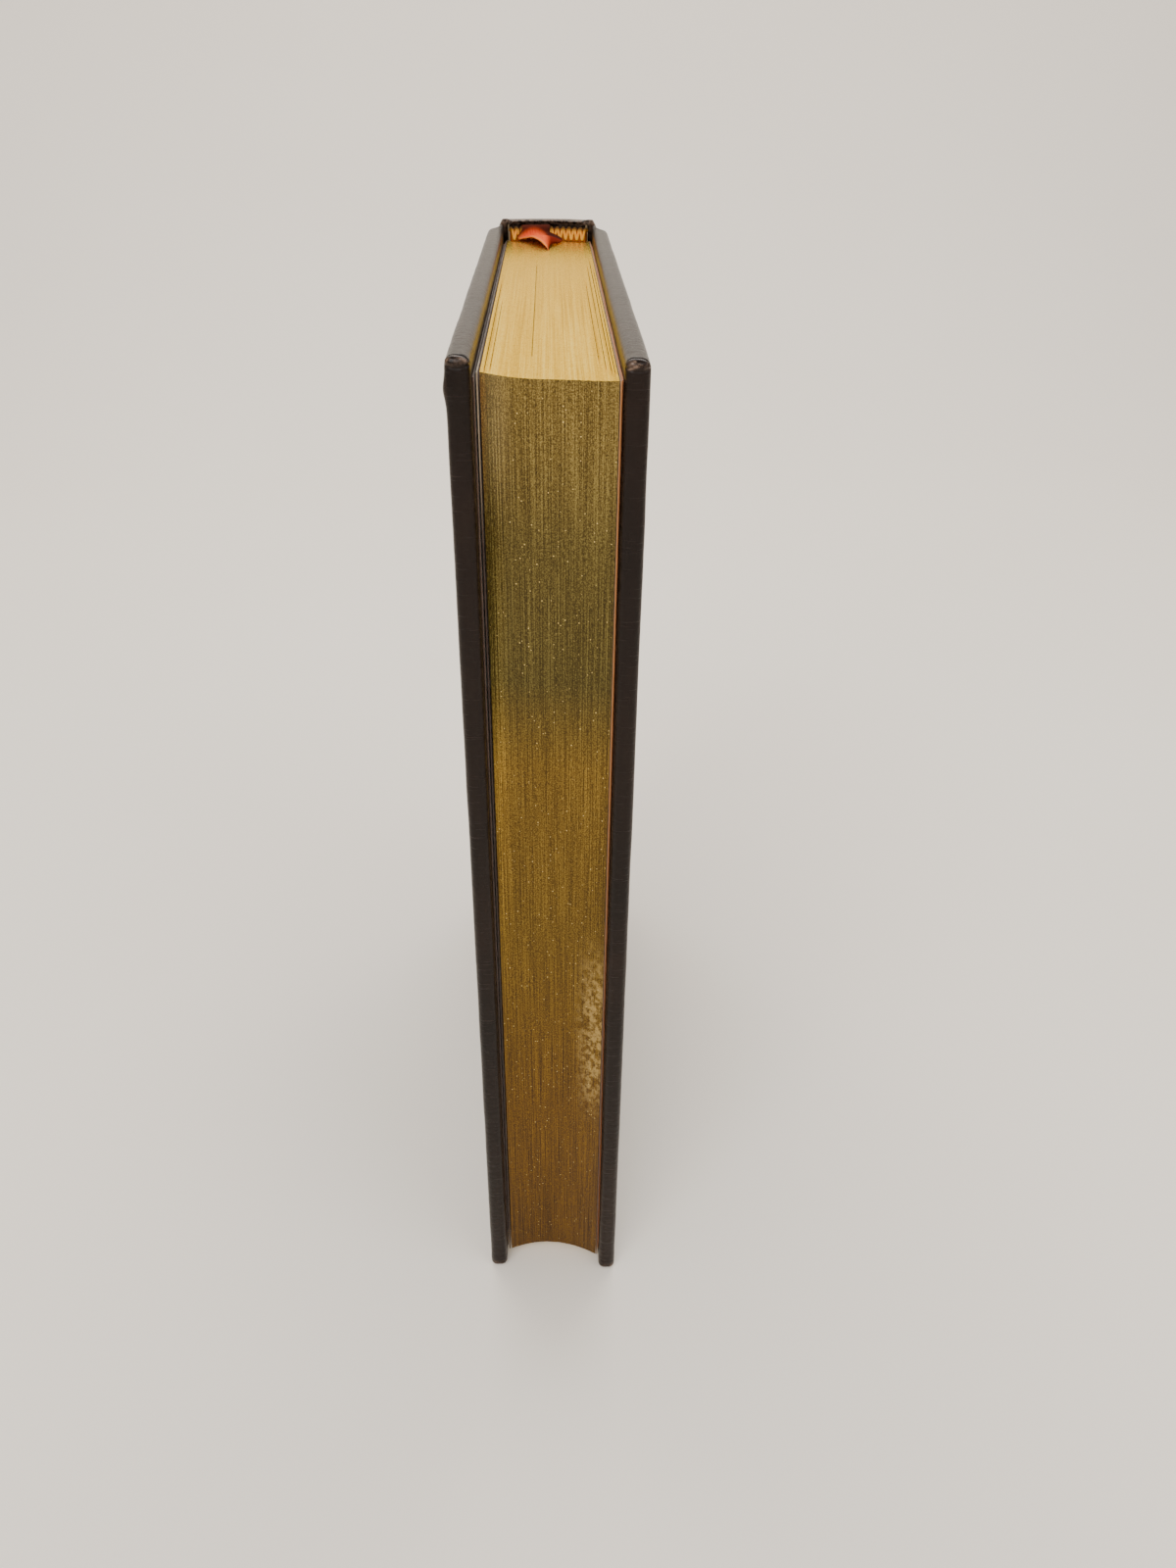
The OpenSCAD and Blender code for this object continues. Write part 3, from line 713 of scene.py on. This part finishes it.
def joint_leather(side, name, leather):
    """A joint's leather: a soft S from the cover to the spine, turned in at head and tail."""
    start = cover_back_y(side)
    t = np.linspace(0, 1, 33)
    swing = (1 - np.cos(math.pi * t)) / 2
    ys = start + (SHOULDER_Y - start) * t
    outer = COVER_OUT + (SPINE_HALF - COVER_OUT) * swing - JOINT_SINK * np.sin(math.pi * t) ** 2
    thin = outer - LEATHER_T
    thick = COVER_IN + 0.02
    top = COVER_H + 0.4 * swing
    cap = EDGE_R + (LEATHER_T - EDGE_R) * swing
    marks = (0.0, 8.0, 22.0, COVER_H - 22.0, COVER_H - 8.0, COVER_H)
    levels = ticks(marks, (1.0, 0.5, 4.0, 0.5, 1.0))
    share = (levels / COVER_H)[:, None]
    zs = cap + (top - 2 * cap) * share
    outside = np.stack(np.broadcast_arrays(outer, ys, zs), -1)
    inside = outside.copy()
    turned = smooth((TURN_IN_W + 0.4 - np.minimum(zs, COVER_H - zs)) / 0.8)
    inside[..., 0] = thin + (thick - thin) * turned
    patches = [(outside, 0), (inside, 0)]
    reach = np.minimum(EDGE_R, (outer - thick) / 2)
    for z, up in ((cap, -1.0), (top - cap, 1.0)):
        bend = turn(QUARTER, 8)
        rows = [(outer - reach * (1 - cos), z + up * cap * sin) for cos, sin in bend]
        rows += [(thick + reach * (1 - cos), z + up * cap * sin) for cos, sin in bend[::-1]]
        grid = np.array([np.column_stack([x, ys, high]) for x, high in rows])
        patches.append((grid, 0))
        patches += [(lid(grid[:, k]), 0) for k in (0, -1)]
    patches += [(np.stack([outside[:, k], inside[:, k]]), 0) for k in (0, -1)]

    def waves(co, normals):
        return 0.03 * noise_3d(co, 5.0, 31 + side) * smooth((np.abs(co[:, 0]) - 12.4) / 0.5)

    return piece(name, mirrored(patches, side), [leather], 50.0, waves)


def spine_line(depth_arch, depth_side):
    """The spine's line in plan, that far inside its outside on the arch and on the flanks."""
    half = SPINE_HALF - depth_side
    fillet = SHOULDER_R - depth_side
    corner_x = half - fillet
    corner_y = SPINE_CY + math.sqrt((SPINE_R - SHOULDER_R) ** 2 - corner_x**2)
    lean = math.asin(corner_x / (SPINE_R - SHOULDER_R))
    fold = math.asin(FOLD_X / SPINE_R)
    flank = SPINE_R - depth_side
    arch = SPINE_R - depth_arch
    line = [(half, SHOULDER_Y + (corner_y - SHOULDER_Y) * i / 3) for i in range(4)]
    for cos, sin in turn(QUARTER - lean, 8)[1:]:
        line.append((corner_x + fillet * cos, corner_y + fillet * sin))
    for i in range(1, 5):
        a = lean + (fold - lean) * i / 4
        line.append((flank * math.sin(a), SPINE_CY + flank * math.cos(a)))
    end = len(line)
    for i in range(1, 61):
        a = fold * (1 - i / 30)
        line.append((arch * math.sin(a), SPINE_CY + arch * math.cos(a)))
    right = np.array(line)
    left = right[:end][::-1] * [-1.0, 1.0]
    return np.vstack([right, left])


def pressed(away, lines):
    """How deep the lines are, at a distance from where they are measured."""
    return sum(deep * math.exp(-(((away - at) / half) ** 2)) for at, deep, half in lines)


def spine_leather(name, leather):
    """The spine's leather with five raised bands, lines beside them and rounded caps."""
    marks = (CAP_R, 8.0, 38.0, 208.0, SPINE_H - 8.0, SPINE_H - CAP_R)
    levels = ticks(marks, (0.6, 1.4, 0.5, 1.4, 0.6))
    outer = spine_line(0.0, 0.0)
    inner = spine_line(SPINE_R - LIP_R, LEATHER_T)
    flat = spine_line(LEATHER_T + 0.02, LEATHER_T)
    normals = np.gradient(outer, axis=0)
    normals = np.column_stack([normals[:, 1], -normals[:, 0]])
    normals /= np.linalg.norm(normals, axis=1)[:, None]
    normals *= np.sign(np.sum(normals * (outer - [0.0, SPINE_CY]), axis=1))[:, None]
    walked = np.concatenate([[0.0], np.cumsum(np.linalg.norm(np.diff(outer, axis=0), axis=1))])
    taper = smooth(np.minimum(walked, walked[-1] - walked) / 4.6)
    off = np.abs(outer[:, 0])
    outside = wall(outer, levels)
    for i, z in enumerate(levels):
        lift = 0.0
        for band in BAND_Z:
            away = abs(z - band)
            lift += BAND_RISE * math.exp(-((away / 2.35) ** 3.2)) - pressed(away, BAND_LINES)
        for edge in (z, SPINE_H - z):
            lift -= pressed(edge, END_LINES)
        share = taper if lift > 0 else smooth((SPINE_HALF - off) / 1.2)
        outside[i, :, :2] += normals * (lift * share)[:, None]
    turned_in = np.array([1.0, 5.0, 10.0, TURN_IN_W])
    middle_rows = np.linspace(TURN_IN_W, SPINE_H - TURN_IN_W, 6)
    patches = [(outside, 0), (wall(inner, SPINE_H - turned_in), 0), (wall(inner, turned_in), 0)]
    patches.append((wall(flat, middle_rows), 0))
    for z in (TURN_IN_W, SPINE_H - TURN_IN_W):
        patches.append((np.stack([at_height(line, z) for line in (inner, flat)]), 0))
    middle = (outer + inner) / 2
    drop = 1.0 - np.sqrt(1 - np.clip(off - (SPINE_HALF - 1.0), 0, 1) ** 2)
    lean = inner - (inner - [0.0, SPINE_CY]) * (CAP_LEAN / LIP_R)
    hung = smooth((12.0 - off) / 1.5)
    lip = inner + (lean - inner) * hung[:, None]
    for z, up in ((CAP_R, -1.0), (SPINE_H - CAP_R, 1.0)):
        rows = []
        height = CAP_R - 0.6 * drop
        if up > 0:
            height = height + CAP_SWELL * smooth((SPINE_HALF - off) / 0.8)
        for cos, sin in turn(QUARTER, 8):
            line = outer + (inner - outer) * (1 - cos) / 2
            rows.append(at_height(line, z + up * sin * height))
        for cos, sin in turn(QUARTER, 8):
            sink = (1 - cos) * (0.3 * hung + (1 - hung))
            rows.append(at_height(middle + (lip - middle) * sin, z + up * height * (1 - sink)))
        rows.append(at_height(inner, z))
        patches.append((np.array(rows), 0))

    def waves(co, normals):
        return 0.035 * noise_3d(co, 7.0, 41) + 0.02 * noise_3d(co, 2.2, 42)

    def worn(co):
        ends = np.minimum(co[:, 2], SPINE_H - co[:, 2])
        edge = smooth((1.8 - ends) / 1.6) * 0.6
        out = np.hypot(co[:, 0], co[:, 1] - SPINE_CY) - SPINE_R
        bands = smooth((out - 1.1) / 0.4) * 0.10
        return edge + bands

    return piece(name, patches, [leather], 50.0, waves, worn)


def cheek(across):
    """From 0 to 1 over the pages' last part towards the front cover."""
    return np.clip((-across - 0.25) / 0.75, 0, None) ** 1.6


def fore_edge_y(across, up):
    """Where the pages end at the fore-edge: across from -1 to 1, up from 0 to 1."""
    return (
        FORE_Y + FORE_SQUARE - HEAD_CREEP * up - FORE_SLANT / 2 * across
        + HOLLOW_D * (1 - up) * (1 - across**2)
        + CHEEK_D * up**2 * cheek(across)
    )


def back_at(x, layers=0.0):
    """The pages' rounded back, or that far behind it."""
    return BACK_CY + np.sqrt((BACK_R + layers) ** 2 - (np.asarray(x) - BLOCK_SHIFT) ** 2)


def pages(name, fore_gilt, head_gilt, paper):
    """The pages, with uneven leaf edges, the partings at the head and the ribbon's slit."""
    low = BLOCK_SHIFT - BLOCK_T / 2
    high = BLOCK_SHIFT + BLOCK_T / 2
    edges = [(SLIT_X, SLIT_HALF)] + [(x, half) for x, _, _, half, _ in GAPS]
    xs = np.linspace(low, high, 201)
    for x, half in edges:
        xs = xs[np.abs(xs - x) > half + 0.06]
    columns = [x + half * k for x, half in edges for k in (-1.0, -0.6, 0.0, 0.6, 1.0)]
    xs = np.unique(np.round(np.concatenate([xs, columns]), 5))
    across = (xs - BLOCK_SHIFT) / (BLOCK_T / 2)
    ups = np.linspace(0, 1, 70)
    relief = 0.02 * noise_1d(xs, 0.16, 51) + 0.004 * noise_1d(xs, 0.55, 52)
    heads = 0.02 * noise_1d(xs, 0.16, 54) + 0.02 * noise_1d(xs, 0.6, 55)
    heads = heads + 0.03 * noise_1d(xs, 2.0, 56)
    front_in = BACK_Y - SLIT_SET - RIBBON_W / 2 - RIBBON_CLEAR
    back_in = BACK_Y - SLIT_SET + RIBBON_W / 2 + RIBBON_CLEAR
    page_h = HEAD_Z - TAIL_Z

    def fore(w):
        at = np.column_stack([xs * 12, np.full(len(xs), w * page_h), xs * 0])
        drift = 0.03 * noise_3d(at, 24.0, 57)
        return fore_edge_y(across, w) + relief + drift + 0.05

    fore_mean = fore(1.0).mean()
    slit_ys = [y + off for y in (front_in, back_in) for off in (-0.05, 0.05)]
    slit_ticks = [(y - fore_mean) / (BACK_Y - fore_mean) for y in slit_ys]
    depth_ticks = np.unique(np.concatenate([np.linspace(0, 1, 60) ** 1.15, slit_ticks]))

    def level(z0, height, opened):
        """The pages' head or tail; opened, it has the partings and the ribbon's slit."""
        start = fore(height)
        end = back_at(xs)
        ys = start + (end - start) * depth_ticks[:, None]
        zs = np.full_like(ys, z0)
        wave = noise_3d(np.stack(np.broadcast_arrays(xs * 14, ys, 0.0), -1), 26.0, 58)
        if opened:
            zs = zs + heads + 0.03 * wave
            for x, start_y, length, half, deep in GAPS:
                along = np.clip((start_y - ys) / length, 0, 1)
                within = np.abs(xs - x) < half * 0.8
                zs = zs - deep * np.sin(math.pi * along) ** 0.7 * within
            slit = (ys > front_in) & (ys < back_in)
            slit = slit & (np.abs(xs - SLIT_X) < SLIT_HALF * 0.8)
            zs = np.where(slit, z0 - SLIT_SHOWN, zs)
        else:
            zs = zs - heads - 0.03 * wave
        return np.stack(np.broadcast_arrays(xs, ys, zs), -1)

    head = level(HEAD_Z, 1.0, True)
    tail = level(TAIL_Z, 0.0, False)

    def side(low_line, high_line, plan):
        """A grid from the tail up to the head; plan gives x and y at a height from 0 to 1."""
        rows = []
        for w in ups:
            z = low_line[:, 2] + (high_line[:, 2] - low_line[:, 2]) * w
            rows.append(at_height(plan(w), z))
        return np.array(rows)

    front = side(tail[0], head[0], lambda w: np.column_stack([xs, fore(w)]))
    back = side(tail[-1], head[-1], lambda w: np.column_stack([xs, back_at(xs)]))
    patches = [(front, 0), (back, 2), (head, 1), (tail, 1)]
    for k in (0, -1):
        def flank(w):
            ys = fore(w)[k] + (back_at(xs[k]) - fore(w)[k]) * depth_ticks
            return np.column_stack([np.full(len(ys), xs[k]), ys])

        patches.append((side(tail[:, k], head[:, k], flank), 2))
    return piece(name, patches, [fore_gilt, head_gilt, paper], 42.0)


def curve(points, steps):
    """A smooth line through the points."""
    p = np.asarray(points, float)
    line = []
    for i in range(len(p) - 1):
        a, b, c, d = p[max(0, i - 1)], p[i], p[i + 1], p[min(len(p) - 1, i + 2)]
        for t in np.arange(steps) / steps:
            line.append(
                0.5 * (2 * b + (c - a) * t + (2 * a - 5 * b + 4 * c - d) * t * t
                       + (3 * b - a - 3 * c + d) * t**3)
            )
    line.append(p[-1])
    return np.array(line)


def ribbon_edge(x, y_in, start_x, course, tuck=0.0):
    """One edge of the ribbon, z from the head of the pages: up the back, round the headband's
    bead, leaning in by the tuck, in an arch over the pages and down between them."""
    bow = RIBBON_W**2 / (8 * BACK_R)
    seat = MULL_T + LINING_T + GLUE + RIBBON_T / 2 + bow
    bead_z = HEADBAND_H - BAND_T / 2
    bead_y = float(back_at(x, MULL_T - BAND_T / 2))
    turn_r = BAND_T / 2 + THREAD_RISE + RIBBON_T
    behind = float(back_at(x, seat))
    line = [(x, behind, z) for z in (-RIBBON_GLUED, -RIBBON_GLUED / 2, -3, 0, bead_z)]
    slope = turn_r * math.sqrt(0.5)
    line.append((x + tuck * 0.6, bead_y + bow + slope, bead_z + slope))
    for a, share in ((QUARTER, 1.0), (math.pi * 3 / 4, 0.9), (math.pi, 0.55)):
        y = bead_y + turn_r * math.cos(a)
        line.append((x + tuck * share, y, bead_z + turn_r * math.sin(a)))
    front = bead_y - turn_r
    for tx, ty, z in course:
        line.append((start_x + (SLIT_X - start_x) * tx, front + (y_in - front) * ty, z))
    line += [(SLIT_X, y_in, z) for z in (0.1, -1.0, -8.0)]
    return line


# The arch's two edges: shares of the way to the slit in x and y, and z above the pages
LEFT_COURSE = (
    (0.006, 0.01, 1.3), (0.05, 0.04, 0.8), (0.16, 0.09, 1.1), (0.32, 0.22, 1.55),
    (0.5, 0.41, 2.05), (0.73, 0.66, 1.75), (0.9, 0.84, 1.0), (0.97, 0.96, 0.5),
)
RIGHT_COURSE = (
    (-0.3, 0.1, 2.0), (-1.1, 0.17, 1.75), (-2.0, 0.24, 1.4), (-2.8, 0.38, 1.0),
    (-2.8, 0.55, 0.7), (-2.2, 0.72, 0.5), (-1.2, 0.87, 0.45), (0.2, 0.96, 0.45),
)


def ribbon(name, satin):
    """The ribbon marker: glued behind the pages, over the headband and into the slit."""
    front_in = BACK_Y - SLIT_SET - RIBBON_W / 2
    back_in = BACK_Y - SLIT_SET + RIBBON_W / 2
    left_x = RIBBON_X - RIBBON_W / 2
    left = ribbon_edge(left_x, front_in, left_x, LEFT_COURSE, RIBBON_TUCK)
    right = ribbon_edge(RIBBON_X + RIBBON_W / 2, back_in, SLIT_X + 1.0, RIGHT_COURSE)
    a = np.vstack([curve(left, 14), [(SLIT_X, front_in, -RIBBON_REACH)]])
    b = np.vstack([curve(right, 14), [(SLIT_X, back_in, -RIBBON_REACH)]])
    share = np.linspace(0, 1, 13)
    middle = a[:, None] + (b - a)[:, None] * share[:, None]
    arch = smooth((a[:, 2] - 0.3) / 1.0) * smooth((76.0 - a[:, 1]) / 2.0)
    middle[..., 2] += 0.55 * arch[:, None] * np.sin(math.pi * share)
    along = np.gradient(middle[:, 6], axis=0)
    normal = np.cross(b - a, along)
    normal /= np.linalg.norm(normal, axis=1)[:, None]
    half = RIBBON_T / 2
    upper = middle + normal[:, None] * half
    lower = middle - normal[:, None] * half
    shift = [0.0, 0.0, HEAD_Z]
    edges = [np.stack([grid[:, k] for grid in (upper, middle, lower)], axis=1) for k in (0, -1)]
    ends = [np.stack([upper[k], lower[k]]) for k in (0, -1)]
    patches = [(grid + shift, 0) for grid in [upper, lower] + edges + ends]
    rim = np.vstack([a, b]) + shift

    # Painted highlight: nearness to the ribbon's two edges, which the satin lightens
    def painted_edge_highlight(co):
        near = [np.min(np.linalg.norm(rim - point, axis=1)) for point in co]
        return smooth((0.9 - np.array(near)) / 0.7)

    return piece(name, patches, [satin], 60.0, None, painted_edge_highlight)


def band_piece(name, height, base_z, up, thread, core, tape):
    """A worked headband: a core with silk wound over it in loops, and its tape down the back."""
    r = BAND_T / 2
    lean = math.asin((BLOCK_T / 2 - 0.5) / BACK_R)
    middle_r = BACK_R + MULL_T - r

    def place(angle, out, z):
        """A point at that angle round the back, that far out from the axis, above the pages."""
        return (
            BLOCK_SHIFT + (middle_r + out) * math.sin(angle),
            BACK_CY + (middle_r + out) * math.cos(angle),
            base_z + up * z,
        )

    width = r - 0.42
    top = height - 0.3

    def outline(angle):
        """The core from its front foot over the top to its back foot."""
        line = [place(angle, -width, 0.02)]
        for cos, sin in turn(math.pi, 16):
            line.append(place(angle, -width * cos, top - width + width * sin))
        return line + [place(angle, width, 0.02)]

    body = np.array([outline(a) for a in np.linspace(-lean, lean, 41)])
    patches = [(body, 1)] + [(lid(body[k]), 1) for k in (0, -1)]
    count = int(2 * lean * middle_r // THREAD_PITCH)
    step = 2 * lean / count
    seat = r - THREAD_R
    climb = 0.34
    for i in range(count):
        tip = -lean + (i + 0.5) * step
        for way in (-1, 1):
            line = []
            for j in range(25):
                t = j / 24
                angle = tip + way * step * 0.43 * math.sin(min(1.0, t * 1.7) * math.pi / 2)
                if t < climb:
                    out = -seat
                    z = 0.35 + (height - r - 0.1) * (t / climb)
                else:
                    a = math.pi * ((t - climb) / (1 - climb))
                    out = -seat * math.cos(a)
                    z = height - r + 0.25 + (seat - 0.1) * math.sin(a)
                line.append(place(angle, out, z))
            patches.append((tube(line, THREAD_R, 8, 0.35), 0))
    tape_z = np.array([height - r, 0.0, -TAPE_D / 2, -TAPE_D])
    angles = np.linspace(-lean, lean, 21)
    outer, near = (
        np.array([[place(a, out, z) for a in angles] for z in tape_z]) for out in (r, r - 0.25)
    )
    patches += [(outer, 2), (near, 2)]
    patches += [(np.stack([outer[k], near[k]]), 2) for k in (0, -1)]
    patches += [(np.stack([outer[:, k], near[:, k]]), 2) for k in (0, -1)]
    return piece(name, patches, [thread, core, tape], 50.0)


def hinge_paper(side, name, paper):
    """The endpaper's fold between the pastedown and the flyleaf."""
    start = cover_back_y(side) - 0.3
    pasted = COVER_IN - LEAF_T / 2
    leaf = (BLOCK_T / 2 + side * BLOCK_SHIFT + COVER_IN - LEAF_T) / 2
    fold = float(back_at(BLOCK_SHIFT + side * BLOCK_T / 2)) - 0.25
    bend = 0.11
    line = []
    for t in np.linspace(0, 1, 9):
        line.append((pasted + (leaf + 2 * bend - pasted) * smooth(t), start + (fold - start) * t))
    for cos, sin in turn(math.pi, 6)[1:]:
        line.append((leaf + bend + bend * cos, fold + bend * sin))
    line = np.array(line, float)
    along = np.gradient(line, axis=0)
    normal = np.column_stack([along[:, 1], -along[:, 0]])
    normal /= np.linalg.norm(normal, axis=1)[:, None]
    levels = ticks((PASTE_MARGIN, COVER_H - PASTE_MARGIN), (6.0,))
    outer = line + normal * 0.08
    inner = line - normal * 0.08
    walls = [wall(outer, levels), wall(inner, levels)]
    patches = [(grid, 0) for grid in walls]
    for z, up in ((levels[0], -1), (levels[-1], 1)):
        rows = []
        for cos, sin in turn(math.pi, 6):
            rows.append(at_height(outer + (inner - outer) * ((1 - cos) / 2), z + up * 0.02 * sin))
        patches.append((np.array(rows), 0))
    patches += [(np.stack([grid[:, k] for grid in walls]), 0) for k in (0, -1)]
    return piece(name, mirrored(patches, side), [paper], 60.0)


def add_camera():
    yaw, pitch, roll = (math.radians(a) for a in (CAMERA_YAW, CAMERA_PITCH, CAMERA_ROLL))
    level = math.cos(pitch)
    ahead = Vector((math.sin(yaw) * level, math.cos(yaw) * level, -math.sin(pitch)))
    right = Vector((math.cos(yaw), -math.sin(yaw), 0.0))
    up = right.cross(ahead)
    side = right * math.cos(roll) + up * math.sin(roll)
    top = -right * math.sin(roll) + up * math.cos(roll)
    data = bpy.data.cameras.new("camera")
    data.lens = CAMERA_LENS
    data.sensor_width = 36.0
    data.clip_start = 0.01
    data.clip_end = 20.0
    camera = add("camera", data)
    facing = Matrix((side, top, -ahead)).transposed().to_4x4()
    camera.matrix_world = Matrix.Translation(CAMERA_AT) @ facing
    bpy.context.scene.camera = camera


def add_lamp(name, at, target, size, power):
    """A rectangular lamp that shines at a target, in metres and watts."""
    data = bpy.data.lights.new(name, "AREA")
    data.shape = "RECTANGLE"
    data.size = size[0]
    data.size_y = size[1]
    data.energy = power
    lamp = add(name, data)
    lamp.location = at
    lamp.rotation_mode = "QUATERNION"
    lamp.rotation_quaternion = (Vector(target) - lamp.location).to_track_quat("-Z", "Y")


def add_studio():
    """A pale sweep for floor and backdrop, a soft world and three large lamps."""
    behind = 0.55
    bend = 0.45
    profile = [(-1.6, 0.0), (behind, 0.0)]
    for cos, sin in turn(QUARTER, 16)[1:]:
        profile.append((behind + bend * sin, bend - bend * cos))
    profile.append((behind + bend, 2.2))
    sweep = np.array([[(x, y, z) for x in (-2.2, 2.2)] for y, z in profile])
    s = Shader("studio_paper")
    tone = s.noise((0.004, 0.004, 0.004), 2.0, 0.5)
    pale = s.finish(s.mix(tone, (250, 241, 229), (255, 248, 237)), 0.9, Specular_IOR_Level=0.2)
    floor = piece("backdrop", [(sweep / MM, 0)], [pale], 80.0)
    world = bpy.data.worlds.new("studio")
    world.use_nodes = True
    shade = world.node_tree.nodes["Background"]
    shade.inputs["Color"].default_value = srgb(250, 245, 238)
    shade.inputs["Strength"].default_value = 0.72
    bpy.context.scene.world = world
    add_lamp("key", (-0.4, -1.0, 1.15), (0.0, 0.0, 0.12), (0.9, 0.9), 12.0)
    add_lamp("fill", (0.9, -0.7, 0.8), (0.0, 0.0, 0.12), (0.9, 0.9), 3.5)
    add_lamp("overhead", (0.0, 0.55, 1.0), (0.0, 0.0, 0.2), (1.2, 0.5), 8.0)


def dress(node, material):
    """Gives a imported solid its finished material."""
    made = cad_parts[node]
    made.data.materials.clear()
    made.data.materials.append(material)


def seat_on_block(made, node):
    """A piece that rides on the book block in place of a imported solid."""
    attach(made, "book_block")
    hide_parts(node)


def build():
    leather = leather_material("leather")
    bending = leather_material("leather_joint", rest=True)
    fore_gilt = gilt_fore_material("gilt_fore_edge")
    head_gilt = gilt_head_material("gilt_head")
    paper = paper_material("page_paper", (238, 228, 204), (214, 200, 168))
    pale = (178, 160, 128)
    # Painted light: the back pastedown's edge, bronze brightened to copper as if lit from the gilt
    copper_with_painted_light = (250, 158, 100)
    # Painted shade: a dark colour for cut edges in the shadow between cover and pages
    shaded = (66, 42, 26)
    pasted = {
        "front": endpaper_material("endpaper_front", edge=shaded),
        "back": endpaper_material("endpaper_back", edge=copper_with_painted_light),
    }
    leaves = {
        "front": endpaper_material("endpaper_front_leaf", edge=pale, shaded_edge=shaded),
        # The back leaf's edge: copper-brown higher up, with painted shade lower down
        "back": endpaper_material(
            "endpaper_back_leaf", edge=(180, 114, 52), shaded_edge=(112, 70, 36),
            bright_z=BACK_EDGE_Z, bright_y=None,
        ),
    }
    silk_fold = endpaper_material("endpaper_fold", rest=True)
    gold = thread_material("gold_thread", (255, 196, 78), (255, 152, 44))
    core = thread_material("band_core", (164, 92, 34), (112, 58, 20))
    tape = paper_material("band_tape", (228, 214, 184), (196, 180, 146))

    for side, word in ((-1, "front"), (1, "back")):
        body = word + "_cover"
        cover = cover_leather(side, word + "_cover_leather", leather)
        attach(cover, body)
        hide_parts(word + "_leather")
        joint = joint_leather(side, word + "_joint", bending)
        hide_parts(word + "_joint_leather")
        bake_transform(joint)
        fold = hinge_paper(side, word + "_endpaper_fold", silk_fold)
        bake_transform(fold)
        dress(word + "_pastedown", pasted[word])
        dress(word + "_flyleaf", leaves[word])
        grey = paper_material(word + "_greyboard", (150, 144, 132), (118, 112, 102))
        dress(word + "_board", grey)
    seat_on_block(spine_leather("spine", leather), "spine_leather")
    seat_on_block(pages("pages", fore_gilt, head_gilt, paper), "text_block")
    seat_on_block(ribbon("ribbon", satin_material("satin")), "ribbon_marker")
    top = band_piece("headband_silk", HEADBAND_H, HEAD_Z, 1.0, gold, core, tape)
    seat_on_block(top, "headband")
    bottom = band_piece("tailband_silk", TAILBAND_H, TAIL_Z, -1.0, gold, core, tape)
    seat_on_block(bottom, "tailband")
    dress("spine_stiffener", paper_material("card", (176, 152, 116), (146, 122, 88)))
    band_card = paper_material("band_card", (170, 146, 110), (140, 116, 84))
    for number in range(1, len(BAND_Z) + 1):
        dress(f"raised_band_{number}", band_card)
    gauze = paper_material("gauze", (236, 230, 212), (200, 192, 170), (2.5, 2.5, 2.5))
    dress("mull", gauze)
    dress("spine_lining", paper_material("lining", (186, 150, 104), (158, 122, 78)))


add_camera()
add_studio()
build()
